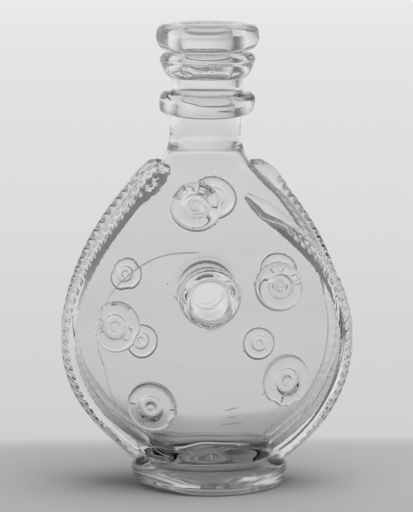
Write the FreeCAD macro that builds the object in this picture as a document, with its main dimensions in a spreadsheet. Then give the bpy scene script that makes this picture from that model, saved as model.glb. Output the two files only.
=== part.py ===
import FreeCAD, Part

import math
import os

import Sketcher

# Annular bottle of clear blown glass. Millimetres, +Z up. The origin is at the bottom
# centre of the foot, and the front faces -Y. The vessel is flattened and pierced by a
# round hole along Y. Its rings, foot, seals and milled trails are separate pieces of
# glass laid on it hot, so each is cut to the vessel's outer form and meets it face to face.

doc = FreeCAD.newDocument("AnnularBottle")
sheet = doc.addObject("Spreadsheet::Sheet", "Sizes")

SIZES = {
    # Vessel
    "body_lift": 3.2,
    "body_height": 157.0,
    "neck_length": 59.8,
    "body_width": 132.8,
    "body_depth": 65.0,
    "neck_diameter": 34.2,
    "wall": 2.4,
    "base_wall": 4.2,
    "neck_bore": 27.4,
    "mouth_bore": 25.0,
    "mouth_length": 15.0,
    "mouth_taper": 3.0,
    "kick_radius": 15.0,
    "kick_height": 4.5,
    # Hole through the middle
    "hole_height": 92.0,
    "hole_throat": 16.6,
    "hole_waist_length": 52.0,
    "hole_waist_end": 22.4,
    "hole_flare_reach": 9.0,
    "hole_flare_rise": 11.0,
    # Rings on the neck
    "lip_diameter": 48.5,
    "lip_height": 12.8,
    "lip_crown": 40.0,
    "lip_cap": 1.2,
    "middle_diameter": 44.4,
    "middle_height": 12.2,
    "middle_gap": 0.6,
    "collar_diameter": 45.0,
    "collar_height": 12.6,
    "collar_gap": 4.6,
    "collar_tilt": 1.6,
    # Foot
    "foot_diameter": 74.4,
    "foot_height": 12.0,
    "foot_crown": 12.6,
    "foot_tread": 64.0,
    "foot_inner_tread": 54.0,
    "foot_hollow": 4.6,
    # Seals
    "front_seal_diameter": 23.8,
    "back_seal_diameter": 18.6,
    "seal_thickness": 3.3,
    "seal_dish": 12.6,
    "seal_dish_depth": 1.7,
    "seal_boss": 4.4,
    "seal_boss_height": 1.1,
    # Milled trails
    "trail_width": 8.8,
    "trail_thickness": 3.1,
    "trail_tooth": 1.3,
    "trail_pitch": 5.0,
    "trail_head_thickness": 5.4,
    "trail_head_length": 17.0,
    # Working
    "overrun": 4.0,
}

for row, (alias, size) in enumerate(SIZES.items(), start=1):
    sheet.set("A%d" % row, alias)
    sheet.set("B%d" % row, str(size))
    sheet.setAlias("B%d" % row, alias)
doc.recompute()


# The heights of the lip's top, of the shoulder where the neck begins, and of where the
# mouth's bore ends.
SHOULDER = "(Sizes.body_lift + Sizes.body_height)"
TOP = "(%s + Sizes.neck_length)" % SHOULDER
BORE_FOOT = "(%s - Sizes.lip_cap - Sizes.mouth_length)" % TOP


def value(expression):
    """The number that an expression on the sheet's sizes gives now."""
    return float(sheet.evalExpression(expression))


def bind(obj, **expressions):
    """Bind an object's properties to expressions, with __ in a name for a dot."""
    for name, expression in expressions.items():
        obj.setExpression(name.replace("__", "."), expression)


# The vessel's outer form from its base to the root of the neck: height, half width,
# half depth, and how much of the wall a level section cuts through, each as a share.
FORM_SHARES = (
    (0.000, 0.225, 0.400, 1.0),
    (0.012, 0.310, 0.540, 1.5),
    (0.031, 0.375, 0.625, 1.6),
    (0.056, 0.445, 0.700, 1.6),
    (0.079, 0.538, 0.770, 1.5),
    (0.108, 0.630, 0.840, 1.4),
    (0.146, 0.724, 0.900, 1.3),
    (0.197, 0.820, 0.955, 1.2),
    (0.268, 0.913, 0.990, 1.1),
    (0.338, 0.972, 1.000, 1.0),
    (0.414, 1.000, 1.000, 1.0),
    (0.490, 0.993, 0.985, 1.0),
    (0.567, 0.955, 0.955, 1.0),
    (0.650, 0.888, 0.900, 1.1),
    (0.732, 0.795, 0.820, 1.2),
    (0.809, 0.675, 0.727, 1.3),
    (0.873, 0.545, 0.645, 1.35),
    (0.924, 0.418, 0.590, 1.35),
    (0.962, 0.328, 0.560, 1.2),
    (1.000, 0.280, 0.545, 1.1),
)
NECK_SHARES = (0.12, 0.3, 0.5, 0.7, 0.85, 1.0)
# How many points steer an oval, and the degree of the curves through them.
OVAL_POINTS = 16
DEGREE = 3


def steering(rows):
    """The control points of a smooth curve that runs through the rows."""
    points = [rows[0]]
    for before, here, after in zip(rows, rows[1:], rows[2:]):
        points.append(here - (before - here * 2 + after) * (1 / 6))
    return points + [rows[-1]]


def guide_curve(rows):
    """A curve whose x, y and z are the half width, the half depth and the height."""
    points = steering(rows)
    spans = len(points) - DEGREE
    knots = list(range(spans + 1))
    mults = [DEGREE + 1] + [1] * (spans - 1) + [DEGREE + 1]
    guide = Part.BSplineCurve()
    guide.buildFromPolesMultsKnots(points, mults, knots, False, DEGREE)
    return guide, points, mults, knots


def closed_solid(faces):
    """The solid inside a closed set of faces."""
    skins = Part.Compound(faces)
    skins.sewShape()
    solid = Part.Solid(skins.Shells[0])
    if solid.Volume < 0:
        solid.reverse()
    return solid


def oval_form(name, rows):
    """A smooth solid of level ovals, each given by its half width, half depth and height."""
    _, points, mults, knots = guide_curve(rows)
    turn = 2 * math.pi / OVAL_POINTS
    reach = 6 / (4 + 2 * math.cos(turn))
    poles = [[FreeCAD.Vector(reach * math.cos(turn * number) * point.x,
                             reach * math.sin(turn * number) * point.y, point.z)
              for point in points] for number in range(OVAL_POINTS)]
    skin = Part.BSplineSurface()
    skin.buildFromPolesMultsKnots(
        poles, [1] * (OVAL_POINTS + 1), mults, list(range(OVAL_POINTS + 1)), knots,
        True, False, DEGREE, DEGREE)
    side = skin.toShape()
    rims = [edge for edge in side.Edges if edge.BoundBox.ZLength < edge.BoundBox.XLength / 2
            and edge.isClosed()]
    caps = [Part.Face(Part.Wire([rim])) for rim in rims]
    form = doc.addObject("Part::Feature", name)
    form.Shape = closed_solid([side] + caps)
    form.Placement = FreeCAD.Placement()
    return form


def outer_rows():
    """The rows of the vessel's outer form, with the neck up to the cap of the lip."""
    half_width, half_depth = value("Sizes.body_width / 2"), value("Sizes.body_depth / 2")
    low, rise = value("Sizes.body_lift"), value("Sizes.body_height")
    shoulder = value(SHOULDER)
    rows = [FreeCAD.Vector(width * half_width, depth * half_depth, low + height * rise)
            for height, width, depth, _ in FORM_SHARES]
    neck, top = value("Sizes.neck_diameter / 2"), value("%s - Sizes.lip_cap" % TOP)
    for share in NECK_SHARES:
        rows.append(FreeCAD.Vector(neck, neck, shoulder + share * (top - shoulder)))
    return rows


def hollow_rows():
    """The rows of the hollow inside the vessel, up to where the mouth's bore begins."""
    half_width, half_depth = value("Sizes.body_width / 2"), value("Sizes.body_depth / 2")
    wall = value("Sizes.wall")
    low = value("Sizes.body_lift + Sizes.base_wall")
    shoulder = value(SHOULDER)
    rows = [FreeCAD.Vector(width * half_width - cut_share * wall,
                           depth * half_depth - cut_share * wall,
                           low + height * (shoulder - low))
            for height, width, depth, cut_share in FORM_SHARES]
    bore, mouth = value("Sizes.neck_bore / 2"), value("Sizes.mouth_bore / 2")
    bore_foot = value(BORE_FOOT)
    taper_foot = bore_foot - value("Sizes.mouth_taper")
    for share in NECK_SHARES:
        rows.append(FreeCAD.Vector(bore, bore, shoulder + share * (taper_foot - shoulder)))
    rows.append(FreeCAD.Vector(mouth, mouth, bore_foot))
    return rows


def cut(name, base, tool):
    """A boolean cut of one object by another."""
    result = doc.addObject("Part::Cut", name)
    result.Base = base
    result.Tool = tool
    return result


def origin_plane(body, role):
    """One of a body's own origin planes."""
    return next(f for f in body.Origin.OriginFeatures if f.Role == role)


def corner(radius, height):
    """A point of a turned outline, from the expressions for its radius and height."""
    return FreeCAD.Vector(value(radius), value(height), 0)


def pin(sketch, geometry, position, radius, height, label):
    """Hold a point of a sketch at a radius and height that follow the sheet."""
    for kind, axis, expression in (("DistanceX", -2, radius), ("DistanceY", -1, height)):
        if expression == "0":
            sketch.addConstraint(Sketcher.Constraint("PointOnObject", geometry, position, axis))
            continue
        number = sketch.addConstraint(Sketcher.Constraint(
            kind, -1, 1, geometry, position, value(expression)))
        sketch.renameConstraint(number, label + kind[-1])
        sketch.setExpression("Constraints." + label + kind[-1], expression)


def turned(name, outline):
    """A body turned about Z. Each point of its outline gives a radius and a height, and
    one that is reached by an arc gives the radius and height of a point on the way too."""
    body = doc.addObject("PartDesign::Body", name)
    sketch = body.newObject("Sketcher::SketchObject", name + "Outline")
    sketch.AttachmentSupport = [(origin_plane(body, "XZ_Plane"), "")]
    sketch.MapMode = "FlatFace"
    following = outline[1:] + outline[:1]
    ends = []
    for here, there in zip(outline, following):
        start, end = corner(*here[:2]), corner(*there[:2])
        if len(there) == 4:
            edge = sketch.addGeometry(Part.Arc(start, corner(*there[2:]), end), False)
            drawn = sketch.getPoint(edge, 1)
            forward = drawn.distanceToPoint(start) < drawn.distanceToPoint(end)
            ends.append((edge, 1, 2) if forward else (edge, 2, 1))
        else:
            edge = sketch.addGeometry(Part.LineSegment(start, end), False)
            ends.append((edge, 1, 2))
    for number, (edge, first, last) in enumerate(ends):
        following_edge, following_first, _ = ends[(number + 1) % len(ends)]
        sketch.addConstraint(Sketcher.Constraint(
            "Coincident", edge, last, following_edge, following_first))
        pin(sketch, edge, first, *outline[number][:2], "Corner%d" % number)
    for number, there in enumerate(following):
        if len(there) == 4:
            mark = sketch.addGeometry(Part.Point(corner(*there[2:])), True)
            pin(sketch, mark, 1, *there[2:], "Way%d" % number)
            sketch.addConstraint(Sketcher.Constraint("PointOnObject", mark, 1, ends[number][0]))
    revolution = body.newObject("PartDesign::Revolution", name + "Turn")
    revolution.Profile = sketch
    revolution.ReferenceAxis = (sketch, ["V_Axis"])
    revolution.Angle = 360
    return body


def hole_form(name, wall):
    """The hole through the middle, grown by a wall: a waist that flares at both faces."""
    half = "(Sizes.body_depth / 2 + Sizes.overrun)"
    waist, end = "Sizes.hole_waist_length / 2", "(Sizes.hole_waist_end / 2 + %s)" % wall
    reach, rise = "Sizes.hole_flare_reach", "Sizes.hole_flare_rise"
    # The flare's middle and rim, with the wall laid off square to it.
    way = ("%s + 0.3 * %s - 0.3 * %s" % (end, rise, wall), "0.62 * %s - 0.7 * %s" % (reach, wall))
    rim = ("%s + %s - 0.8 * %s" % (end, rise, wall), "%s - %s" % (reach, wall))
    body = turned(name, [
        ("0", "0"),
        (rim[0], "0"),
        (rim[0], "%s - %s - (%s)" % (half, waist, rim[1])),
        (end, "%s - %s" % (half, waist), way[0], "%s - %s - (%s)" % (half, waist, way[1])),
        (end, "%s + %s" % (half, waist), "Sizes.hole_throat / 2 + %s" % wall, half),
        (rim[0], "%s + %s + (%s)" % (half, waist, rim[1]),
         way[0], "%s + %s + (%s)" % (half, waist, way[1])),
        (rim[0], "2 * %s" % half),
        ("0", "2 * %s" % half),
    ])
    body.Placement = FreeCAD.Placement(
        FreeCAD.Vector(), FreeCAD.Rotation(FreeCAD.Vector(1, 0, 0), -90))
    bind(body, Placement__Base__y="-%s" % half, Placement__Base__z="Sizes.hole_height")
    return body


def kick_form(name, wall):
    """The dome pushed up into the base, grown by a wall."""
    ball = doc.addObject("Part::Sphere", name)
    dome = "(pow(Sizes.kick_radius; 2) + pow(Sizes.kick_height; 2)) / (2 * Sizes.kick_height)"
    bind(ball, Radius="%s + %s" % (dome, wall),
         Placement__Base__z="Sizes.body_lift + Sizes.kick_height - %s" % dome)
    return ball


def make_bottle_body(outside):
    """The blown vessel: one skin of glass round its hollow, pierced through the middle."""
    sleeve = hole_form("HoleSleeve", "Sizes.wall")
    hollow = cut("HollowRoundHole", oval_form("HollowForm", hollow_rows()), sleeve)
    hollow = cut("Hollow", hollow, kick_form("KickInside", "Sizes.base_wall"))
    mouth = doc.addObject("Part::Cylinder", "MouthBore")
    bind(mouth, Radius="Sizes.mouth_bore / 2",
         Height="Sizes.mouth_length + Sizes.lip_cap + Sizes.overrun",
         Placement__Base__z=BORE_FOOT)
    body = cut("VesselKicked", outside, kick_form("KickOutside", "0 * Sizes.wall"))
    body = cut("VesselPierced", body, hole_form("Hole", "0 * Sizes.wall"))
    body = cut("VesselHollowed", body, hollow)
    body = cut("BottleBody", body, mouth)
    body.Label = "bottle_body"
    return body


def make_rings():
    """The three rings of the neck and the foot, as they are before they meet the vessel."""
    top, neck = TOP, "Sizes.neck_diameter / 2"
    mouth, lip = "Sizes.mouth_bore / 2", "Sizes.lip_diameter / 2"
    inside = "0.8 * Sizes.neck_diameter / 2"
    lip_low = "%s - Sizes.lip_height" % top
    lip_ring = turned("LipBlank", [
        (mouth, lip_low),
        ("%s + 0.25 * (%s - %s)" % (neck, lip, neck), lip_low),
        (lip, "%s + 0.5 * Sizes.lip_height" % lip_low,
         "%s - 0.16 * (%s - %s)" % (lip, lip, neck), "%s + 0.17 * Sizes.lip_height" % lip_low),
        ("Sizes.lip_crown / 2", top,
         "%s - 0.12 * (%s - Sizes.lip_crown / 2)" % (lip, lip), "%s - 0.17 * Sizes.lip_height" % top),
        ("%s + Sizes.lip_cap / 2" % mouth, top),
        (mouth, "%s - Sizes.lip_cap / 2" % top,
         "%s + 0.15 * Sizes.lip_cap" % mouth, "%s - 0.15 * Sizes.lip_cap" % top),
    ])
    middle, middle_top = "Sizes.middle_diameter / 2", "%s - Sizes.middle_gap" % lip_low
    middle_low = "%s - Sizes.middle_height" % middle_top
    middle_ring = turned("MiddleBlank", [
        (inside, middle_low),
        ("%s + 0.1 * (%s - %s)" % (neck, middle, neck), middle_low),
        (middle, "%s + 0.68 * Sizes.middle_height" % middle_low,
         "%s - 0.28 * (%s - %s)" % (middle, middle, neck),
         "%s + 0.28 * Sizes.middle_height" % middle_low),
        ("%s - 0.6 * (%s - %s)" % (middle, middle, neck), middle_top,
         "%s - 0.12 * (%s - %s)" % (middle, middle, neck),
         "%s - 0.09 * Sizes.middle_height" % middle_top),
        (inside, middle_top),
    ])
    collar, collar_top = "Sizes.collar_diameter / 2", "%s - Sizes.collar_gap" % middle_low
    collar_low = "%s - Sizes.collar_height" % collar_top
    lower_collar = turned("CollarBlank", [
        (inside, collar_low),
        ("%s - 0.55 * (%s - %s)" % (collar, collar, neck), collar_low),
        ("%s - 0.04 * (%s - %s)" % (collar, collar, neck), "%s + 0.3 * Sizes.collar_height" % collar_low,
         "%s - 0.18 * (%s - %s)" % (collar, collar, neck), "%s + 0.09 * Sizes.collar_height" % collar_low),
        (collar, "%s - 0.12 * Sizes.collar_height" % collar_top),
        ("%s - 0.3 * (%s - %s)" % (collar, collar, neck), collar_top,
         "%s - 0.08 * (%s - %s)" % (collar, collar, neck), "%s - 0.03 * Sizes.collar_height" % collar_top),
        (inside, collar_top),
    ])
    lower_collar.Placement = FreeCAD.Placement(
        FreeCAD.Vector(), FreeCAD.Rotation(FreeCAD.Vector(0, 1, 0), value("Sizes.collar_tilt")),
        FreeCAD.Vector(0, 0, value(collar_top)))
    foot, tread = "Sizes.foot_diameter / 2", "Sizes.foot_tread / 2"
    inner = "Sizes.foot_inner_tread / 2"
    meets = "0.25 * Sizes.body_depth"
    foot_ring = turned("FootBlank", [
        (inner, "0"),
        (tread, "0"),
        (foot, "0.68 * Sizes.foot_height",
         "%s + 0.82 * (%s - %s)" % (tread, foot, tread), "0.26 * Sizes.foot_height"),
        ("%s - 0.6 * (%s - %s)" % (foot, foot, tread), "Sizes.foot_height",
         "%s - 0.1 * (%s - %s)" % (foot, foot, tread), "0.93 * Sizes.foot_height"),
        (meets, "Sizes.foot_crown"),
        (meets, "Sizes.foot_hollow"),
    ])
    return {"lip_ring": lip_ring, "middle_ring": middle_ring,
            "lower_collar": lower_collar, "foot_ring": foot_ring}


class OuterSurface:
    """The vessel's outer surface, asked for points and directions on it."""

    def __init__(self, shape, rows):
        self.surface = max(shape.Faces, key=lambda side: side.Area).Surface
        self.guide = guide_curve(rows)[0]

    def half_sizes(self, height):
        """The half width and half depth of the level section at a height."""
        low, high = self.guide.FirstParameter, self.guide.LastParameter
        for _ in range(40):
            middle = (low + high) / 2
            if self.guide.value(middle).z < height:
                low = middle
            else:
                high = middle
        found = self.guide.value(low)
        return found.x, found.y

    def at_depth(self, height, depth, side):
        """The point at a height and a depth, on one side."""
        half_width, half_depth = self.half_sizes(height)
        share = max(-1, min(1, depth / half_depth))
        return FreeCAD.Vector(side * half_width * math.sqrt(1 - share ** 2), depth, height)

    def at_width(self, height, across, face_side):
        """The point at a height and a distance across, on the front or the back."""
        half_width, half_depth = self.half_sizes(height)
        share = max(-1, min(1, across / half_width))
        return FreeCAD.Vector(across, face_side * half_depth * math.sqrt(1 - share ** 2), height)

    def nearest(self, point):
        """The nearest point on the surface, and the direction straight out of it."""
        around, along = self.surface.parameter(point)
        found = self.surface.value(around, along)
        out = self.surface.normal(around, along)
        if out.x * found.x + out.y * found.y < 0:
            out = -out
        return found, out


# Each seal's place as shares of the half width and the body height, and its size as a
# share of the diameter on its face.
FRONT_SEAL_SHARES = {
    "top": (-0.089, 0.843, 1.03),
    "right": (0.498, 0.604, 1.0),
    "lower_right": (0.545, 0.321, 1.0),
    "lower_left": (-0.407, 0.246, 1.02),
    "left": (-0.652, 0.485, 1.0),
}
BACK_SEAL_SHARES = {
    "top": (0.060, 0.838, 1.22),
    "right": (0.541, 0.610, 1.02),
    "lower_right": (0.402, 0.370, 0.89),
    "lower_left": (-0.459, 0.383, 0.91),
    "left": (-0.566, 0.601, 0.94),
}


def seal_blank(name, diameter, point, out):
    """A round seal: a thick rim round a dished middle with a small boss, set deep enough
    in the vessel's form for the curve of the wall."""
    radius, sunk, thick = "%s / 2" % diameter, "Sizes.overrun", "Sizes.seal_thickness"
    rim_top = "%s + %s" % (sunk, thick)
    dish = "%s / Sizes.front_seal_diameter * Sizes.seal_dish / 2" % diameter
    floor = "%s - Sizes.seal_dish_depth" % rim_top
    boss = "%s / Sizes.front_seal_diameter * Sizes.seal_boss / 2" % diameter
    blank = turned(name, [
        ("0", "0"),
        (radius, "0"),
        (radius, "%s + 0.2 * %s" % (sunk, thick)),
        ("0.78 * %s" % radius, rim_top,
         "0.955 * %s" % radius, "%s + 0.76 * %s" % (sunk, thick)),
        (dish, "%s - 0.6 * Sizes.seal_dish_depth" % rim_top,
         "0.5 * (0.78 * %s + %s)" % (radius, dish), "%s - 0.12 * Sizes.seal_dish_depth" % rim_top),
        (boss, floor,
         "0.5 * (%s + %s)" % (dish, boss), "%s + 0.03 * Sizes.seal_dish_depth" % floor),
        ("0.4 * %s" % boss, "%s + Sizes.seal_boss_height" % floor,
         "0.82 * %s" % boss, "%s + 0.75 * Sizes.seal_boss_height" % floor),
        ("0", "%s + Sizes.seal_boss_height" % floor),
    ])
    blank.Placement = FreeCAD.Placement(
        point - out * value(sunk), FreeCAD.Rotation(FreeCAD.Vector(0, 0, 1), out))
    return blank


def make_seal_blanks(surface):
    """Five seals on the front and five on the back."""
    blanks = {}
    for face, face_side, places in (("front", -1, FRONT_SEAL_SHARES), ("back", 1, BACK_SEAL_SHARES)):
        for place, (across_share, height_share, size_share) in places.items():
            name = "%s_seal_%s" % (face, place)
            height = value("Sizes.body_lift + %g * Sizes.body_height" % height_share)
            across = value("%g * Sizes.body_width / 2" % across_share)
            point, out = surface.nearest(surface.at_width(height, across, face_side))
            blanks[name] = seal_blank(
                name.title().replace("_", "") + "Blank",
                "%g * Sizes.%s_seal_diameter" % (size_share, face), point, out)
    return blanks


# Each trail's middle line down the side: shares of the body height and the half depth.
TRAIL_SHARES = {
    "front_left_trail": (
        (0.952, 0.375), (0.936, 0.325), (0.895, 0.312), (0.814, 0.338), (0.731, 0.326),
        (0.667, 0.302), (0.553, 0.246), (0.432, 0.200), (0.343, 0.200), (0.196, 0.231),
        (0.107, 0.246), (0.066, 0.246)),
    "front_right_trail": (
        (0.885, 0.520), (0.833, 0.538), (0.782, 0.511), (0.731, 0.462), (0.680, 0.394),
        (0.617, 0.317), (0.566, 0.271), (0.483, 0.210), (0.413, 0.195), (0.298, 0.195),
        (0.196, 0.205), (0.107, 0.231), (0.066, 0.246)),
    "back_left_trail": (
        (0.965, -0.123), (0.870, -0.215), (0.744, -0.246), (0.617, -0.231), (0.438, -0.205),
        (0.298, -0.205), (0.196, -0.231), (0.107, -0.246), (0.066, -0.246)),
    "back_right_trail": (
        (0.965, -0.123), (0.922, -0.154), (0.870, -0.215), (0.744, -0.277), (0.617, -0.308),
        (0.438, -0.323), (0.298, -0.292), (0.196, -0.260), (0.107, -0.246), (0.066, -0.246)),
}
# How finely a trail's middle line is measured out.
LINE_SAMPLES = 240
# How much wider the trail's head is, how nearly it reaches its full thickness, and how
# much of the width is left between two teeth.
HEAD_WIDENING_SHARE = 0.25
HEAD_FULLNESS_SHARE = 0.9
WAIST_SHARE = 0.92
# How far past the last station the trail's two ends would round to nothing, as shares
# of the pitch.
HEAD_END_SHARE = 0.12
FOOT_END_SHARE = 0.3
# Across a trail: points under it, then over it, as shares of its half width and thickness.
UNDER_SHARES = (-1.0, -0.34, 0.34, 1.0)
OVER_SHARES = ((0.86, 0.55), (0.4, 1.0), (-0.4, 1.0), (-0.86, 0.55))


def between(pairs, wanted):
    """The second of a pair, read off a falling list of pairs by its first."""
    for (high, at_high), (low, at_low) in zip(pairs, pairs[1:]):
        if wanted >= low:
            return at_low + (at_high - at_low) * (wanted - low) / (high - low)
    return pairs[-1][1]


def trail_stations(surface, line_shares, side, step):
    """Points an even step apart down a trail's middle line."""
    top_share, low_share = line_shares[0][0], line_shares[-1][0]
    line = []
    for number in range(LINE_SAMPLES + 1):
        share = top_share + (low_share - top_share) * number / LINE_SAMPLES
        height = value("Sizes.body_lift") + share * value("Sizes.body_height")
        depth = -between(line_shares, share) * value("Sizes.body_depth") / 2
        line.append(surface.at_depth(height, depth, side))
    lengths = [0.0]
    for here, there in zip(line, line[1:]):
        lengths.append(lengths[-1] + here.distanceToPoint(there))
    count = max(4, round(lengths[-1] / step))
    stations, sample = [], 0
    for number in range(count + 1):
        wanted = lengths[-1] * number / count
        while sample < LINE_SAMPLES - 1 and lengths[sample + 1] < wanted:
            sample += 1
        part = (wanted - lengths[sample]) / (lengths[sample + 1] - lengths[sample])
        stations.append(line[sample] + (line[sample + 1] - line[sample]) * part)
    return stations, lengths[-1]


def end_faces(outline):
    """Flat faces from the middle of a closed outline to each of its edges."""
    middle = sum(outline[1:], FreeCAD.Vector()) * (1 / (len(outline) - 1))
    return [Part.Face(Part.makePolygon([middle, here, there, middle]))
            for here, there in zip(outline, outline[1:])]


def make_trail(name, surface, line_shares, side):
    """A milled trail: a band down the side whose thickness rises and falls with its teeth,
    fuller at the head where it was laid on first, and drawn thin at the foot."""
    width, thick = value("Sizes.trail_width"), value("Sizes.trail_thickness")
    tooth, pitch = value("Sizes.trail_tooth"), value("Sizes.trail_pitch")
    head, head_length = value("Sizes.trail_head_thickness"), value("Sizes.trail_head_length")
    stations, length = trail_stations(surface, line_shares, side, pitch / 2)
    outlines = []
    for number, middle in enumerate(stations):
        run = length * number / (len(stations) - 1)
        along = stations[min(number + 1, len(stations) - 1)] - stations[max(number - 1, 0)]
        here, out = surface.nearest(middle)
        across = out.cross(along).normalize()
        fullness = max(0.0, 1 - run / head_length)
        swell = math.sin(math.pi * fullness) * HEAD_FULLNESS_SHARE
        height = thick + (head - thick) * swell + (tooth if number % 2 else 0)
        ends = min(1.0, math.sqrt(run / pitch + HEAD_END_SHARE),
                   math.sqrt((length - run) / pitch + FOOT_END_SHARE))
        half = width / 2 * ends * (1 + HEAD_WIDENING_SHARE * fullness)
        half *= (1 if number % 2 else WAIST_SHARE)
        height = height * ends - tooth / 2
        points = [surface.nearest(here + across * (half * share))[0] for share in UNDER_SHARES]
        for share, height_share in OVER_SHARES:
            foot, over = surface.nearest(here + across * (half * share))
            points.append(foot + over * (max(height, tooth / 2) * height_share))
        outlines.append(points + points[:1])
    skin = Part.makeLoft([Part.makePolygon(outline) for outline in outlines], False, True)
    trail = doc.addObject("Part::Feature", name.title().replace("_", ""))
    trail.Label = name
    trail.Shape = closed_solid(skin.Faces + end_faces(outlines[0]) + end_faces(outlines[-1]))
    trail.Placement = FreeCAD.Placement()
    return trail


def main():
    """Make every piece of glass, check it, and write each to its own file."""
    outside = oval_form("VesselForm", outer_rows())
    doc.recompute()
    surface = OuterSurface(outside.Shape, outer_rows())
    pieces = [make_bottle_body(outside)]
    blanks = make_rings()
    blanks.update(make_seal_blanks(surface))
    for name, blank in blanks.items():
        piece = cut(name.title().replace("_", ""), blank, outside)
        piece.Label = name
        pieces.append(piece)
    for name, line_shares in TRAIL_SHARES.items():
        side = -1 if "left" in name else 1
        pieces.append(make_trail(name, surface, line_shares, side))
    doc.recompute()
    for obj in doc.Objects:
        if "Invalid" in obj.State or "Error" in obj.State:
            raise RuntimeError("%s failed: %s" % (obj.Label, obj.State))
    for piece in pieces:
        if piece.Shape.isNull() or not piece.Shape.isValid():
            raise RuntimeError("%s has no valid shape" % piece.Label)
        if len(piece.Shape.Solids) != 1:
            raise RuntimeError("%s has %d solids" % (piece.Label, len(piece.Shape.Solids)))
    os.makedirs("parts", exist_ok=True)
    for piece in pieces:
        piece.Shape.exportStep("parts/%s.step" % piece.Label)
        box = piece.Shape.BoundBox
        print("%-24s volume %9.1f  x %.1f..%.1f  y %.1f..%.1f  z %.1f..%.1f" % (
            piece.Label, piece.Shape.Volume, box.XMin, box.XMax, box.YMin, box.YMax,
            box.ZMin, box.ZMax))


main()
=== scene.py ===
import math

import bpy
import numpy as np
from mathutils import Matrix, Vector
from mathutils.kdtree import KDTree


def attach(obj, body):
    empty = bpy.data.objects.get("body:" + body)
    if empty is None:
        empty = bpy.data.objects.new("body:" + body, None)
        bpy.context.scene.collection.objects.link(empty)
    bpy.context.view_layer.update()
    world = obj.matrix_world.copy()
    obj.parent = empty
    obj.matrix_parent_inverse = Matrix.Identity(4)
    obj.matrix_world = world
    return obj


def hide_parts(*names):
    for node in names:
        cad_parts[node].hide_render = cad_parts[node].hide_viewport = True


# Annular bottle of clear blown glass, dressed for the render. Every piece is worked out
# in millimetres in the CAD's own frame, +Z up with the front toward -Y, and its mesh is
# written in metres. Each applied piece is shaped on the vessel's outer surface.

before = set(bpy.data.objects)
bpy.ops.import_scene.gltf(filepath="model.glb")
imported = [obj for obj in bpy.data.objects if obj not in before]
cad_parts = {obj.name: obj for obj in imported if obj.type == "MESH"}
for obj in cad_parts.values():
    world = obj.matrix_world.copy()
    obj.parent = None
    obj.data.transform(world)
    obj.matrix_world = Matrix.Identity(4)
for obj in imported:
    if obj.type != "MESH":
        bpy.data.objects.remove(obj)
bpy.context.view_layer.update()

MM = 0.001

# The vessel. Its bores are given by their radii.
BODY_LIFT = 3.2
BODY_HEIGHT = 157.0
NECK_LENGTH = 59.8
BODY_WIDTH = 132.8
BODY_DEPTH = 65.0
NECK_RADIUS = 17.1
WALL = 2.4
BASE_WALL = 6.0
NECK_BORE = 13.7
MOUTH_BORE = 12.5
MOUTH_LENGTH = 15.0
MOUTH_TAPER = 3.0
KICK_RADIUS = 15.0
KICK_HEIGHT = 1.6
SHOULDER = BODY_LIFT + BODY_HEIGHT
TOP = SHOULDER + NECK_LENGTH
GLASS_IOR = 1.5

# How the vessel's edges are rounded: at the base outside and inside, at the rim of the
# neck, and where the outer skin and the hollow meet in the mouth.
BASE_ROUNDING = 3.0
BASE_INNER_ROUNDING = 12.0
RIM_ROUNDING = 0.6
MOUTH_ROUNDING = 0.8

# The hole through the middle, with the radii of its throat and near its ends. The glass
# round it thickens outward, and under the hole by only a share of that.
HOLE_ACROSS = 0.5
HOLE_HEIGHT = 91.2
HOLE_THROAT = 8.3
HOLE_WAIST_END = 8.8
HOLE_WAIST_REACH = 26.0
HOLE_ROUNDING = 8.0
HOLE_INNER_ROUNDING = 2.5
HOLE_THICKENING = 2.9
HOLE_THICKENING_REACH = (4.0, 18.0)
HOLE_THICKENING_RISE = (-12.0, 6.0)
HOLE_THICKENING_UNDER = 0.3

# Where the vessel is out of true: it is tucked in low down on its left, its neck leans to
# the left, and the top of its neck to the right. Each pair gives where that sets in and
# where it is full.
LEFT_TUCK = 3.4
LEFT_TUCK_HEIGHT = 22.0
LEFT_TUCK_SPREAD = 17.0
LEFT_TUCK_ACROSS = (10.0, -35.0)
NECK_LEAN = 0.6
NECK_LEAN_FROM_BELOW = (132.0, 160.0)
NECK_LEAN_FROM_ABOVE = (184.0, 176.0)
TOP_LEAN = 0.5
TOP_LEAN_FROM_BELOW = (176.0, 188.0)

# The unevenness of glass worked by hand. A row of waves gives how strong they are, their
# seed and how long they are.
BODY_SWELL = 0.12
NECK_SWELL = 0.04
NECK_SWELL_BLEND = 20.0
OUTER_SEED = 3
OUTER_WAVE = 52.0
HOLLOW_WAVES = ((0.12, 11, 40.0), (0.02, 12, 16.0))
BASE_WAVES = ((0.7, 13, 26.0), (0.06, 14, 9.0))
BASE_WAVES_FROM_ABOVE = (34.0, 8.0)
FINE_WAVE = 12.0

# The rings of the neck, one under the other.
LIP_RADIUS = 24.6
LIP_HEIGHT = 12.8
LIP_CAP = 1.2
LIP_SEAT_DROP = 0.5
MIDDLE_RADIUS = 22.8
MIDDLE_HEIGHT = 12.2
MIDDLE_GAP = 0.6
COLLAR_RADIUS = 23.0
COLLAR_HEIGHT = 10.9
COLLAR_GAP = 6.3
COLLAR_TILT = 0.8
COLLAR_SAG = 1.75
COLLAR_BACK_SAG_SHARE = 0.4
RING_SHY = 0.22
WOUND_PITCH = 2.3
WOUND_SLANT = 0.02

# The foot. It is lifted off the table in one direction, given in degrees.
FOOT_RADIUS = 37.5
FOOT_ASIDE = 1.3
FOOT_HEIGHT = 12.0
FOOT_CROWN = 12.6
FOOT_SHOULDER = 34.0
FOOT_TREAD = 34.2
FOOT_INNER_TREAD = 28.0
FOOT_HOLLOW = 2.6
FOOT_SEAT_LIFT = 1.2
FOOT_SHY = 0.28
FOOT_LIFT = 2.4
FOOT_LIFT_TURN = -142.0
FOOT_LIFT_SPREAD = 26.0

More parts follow.
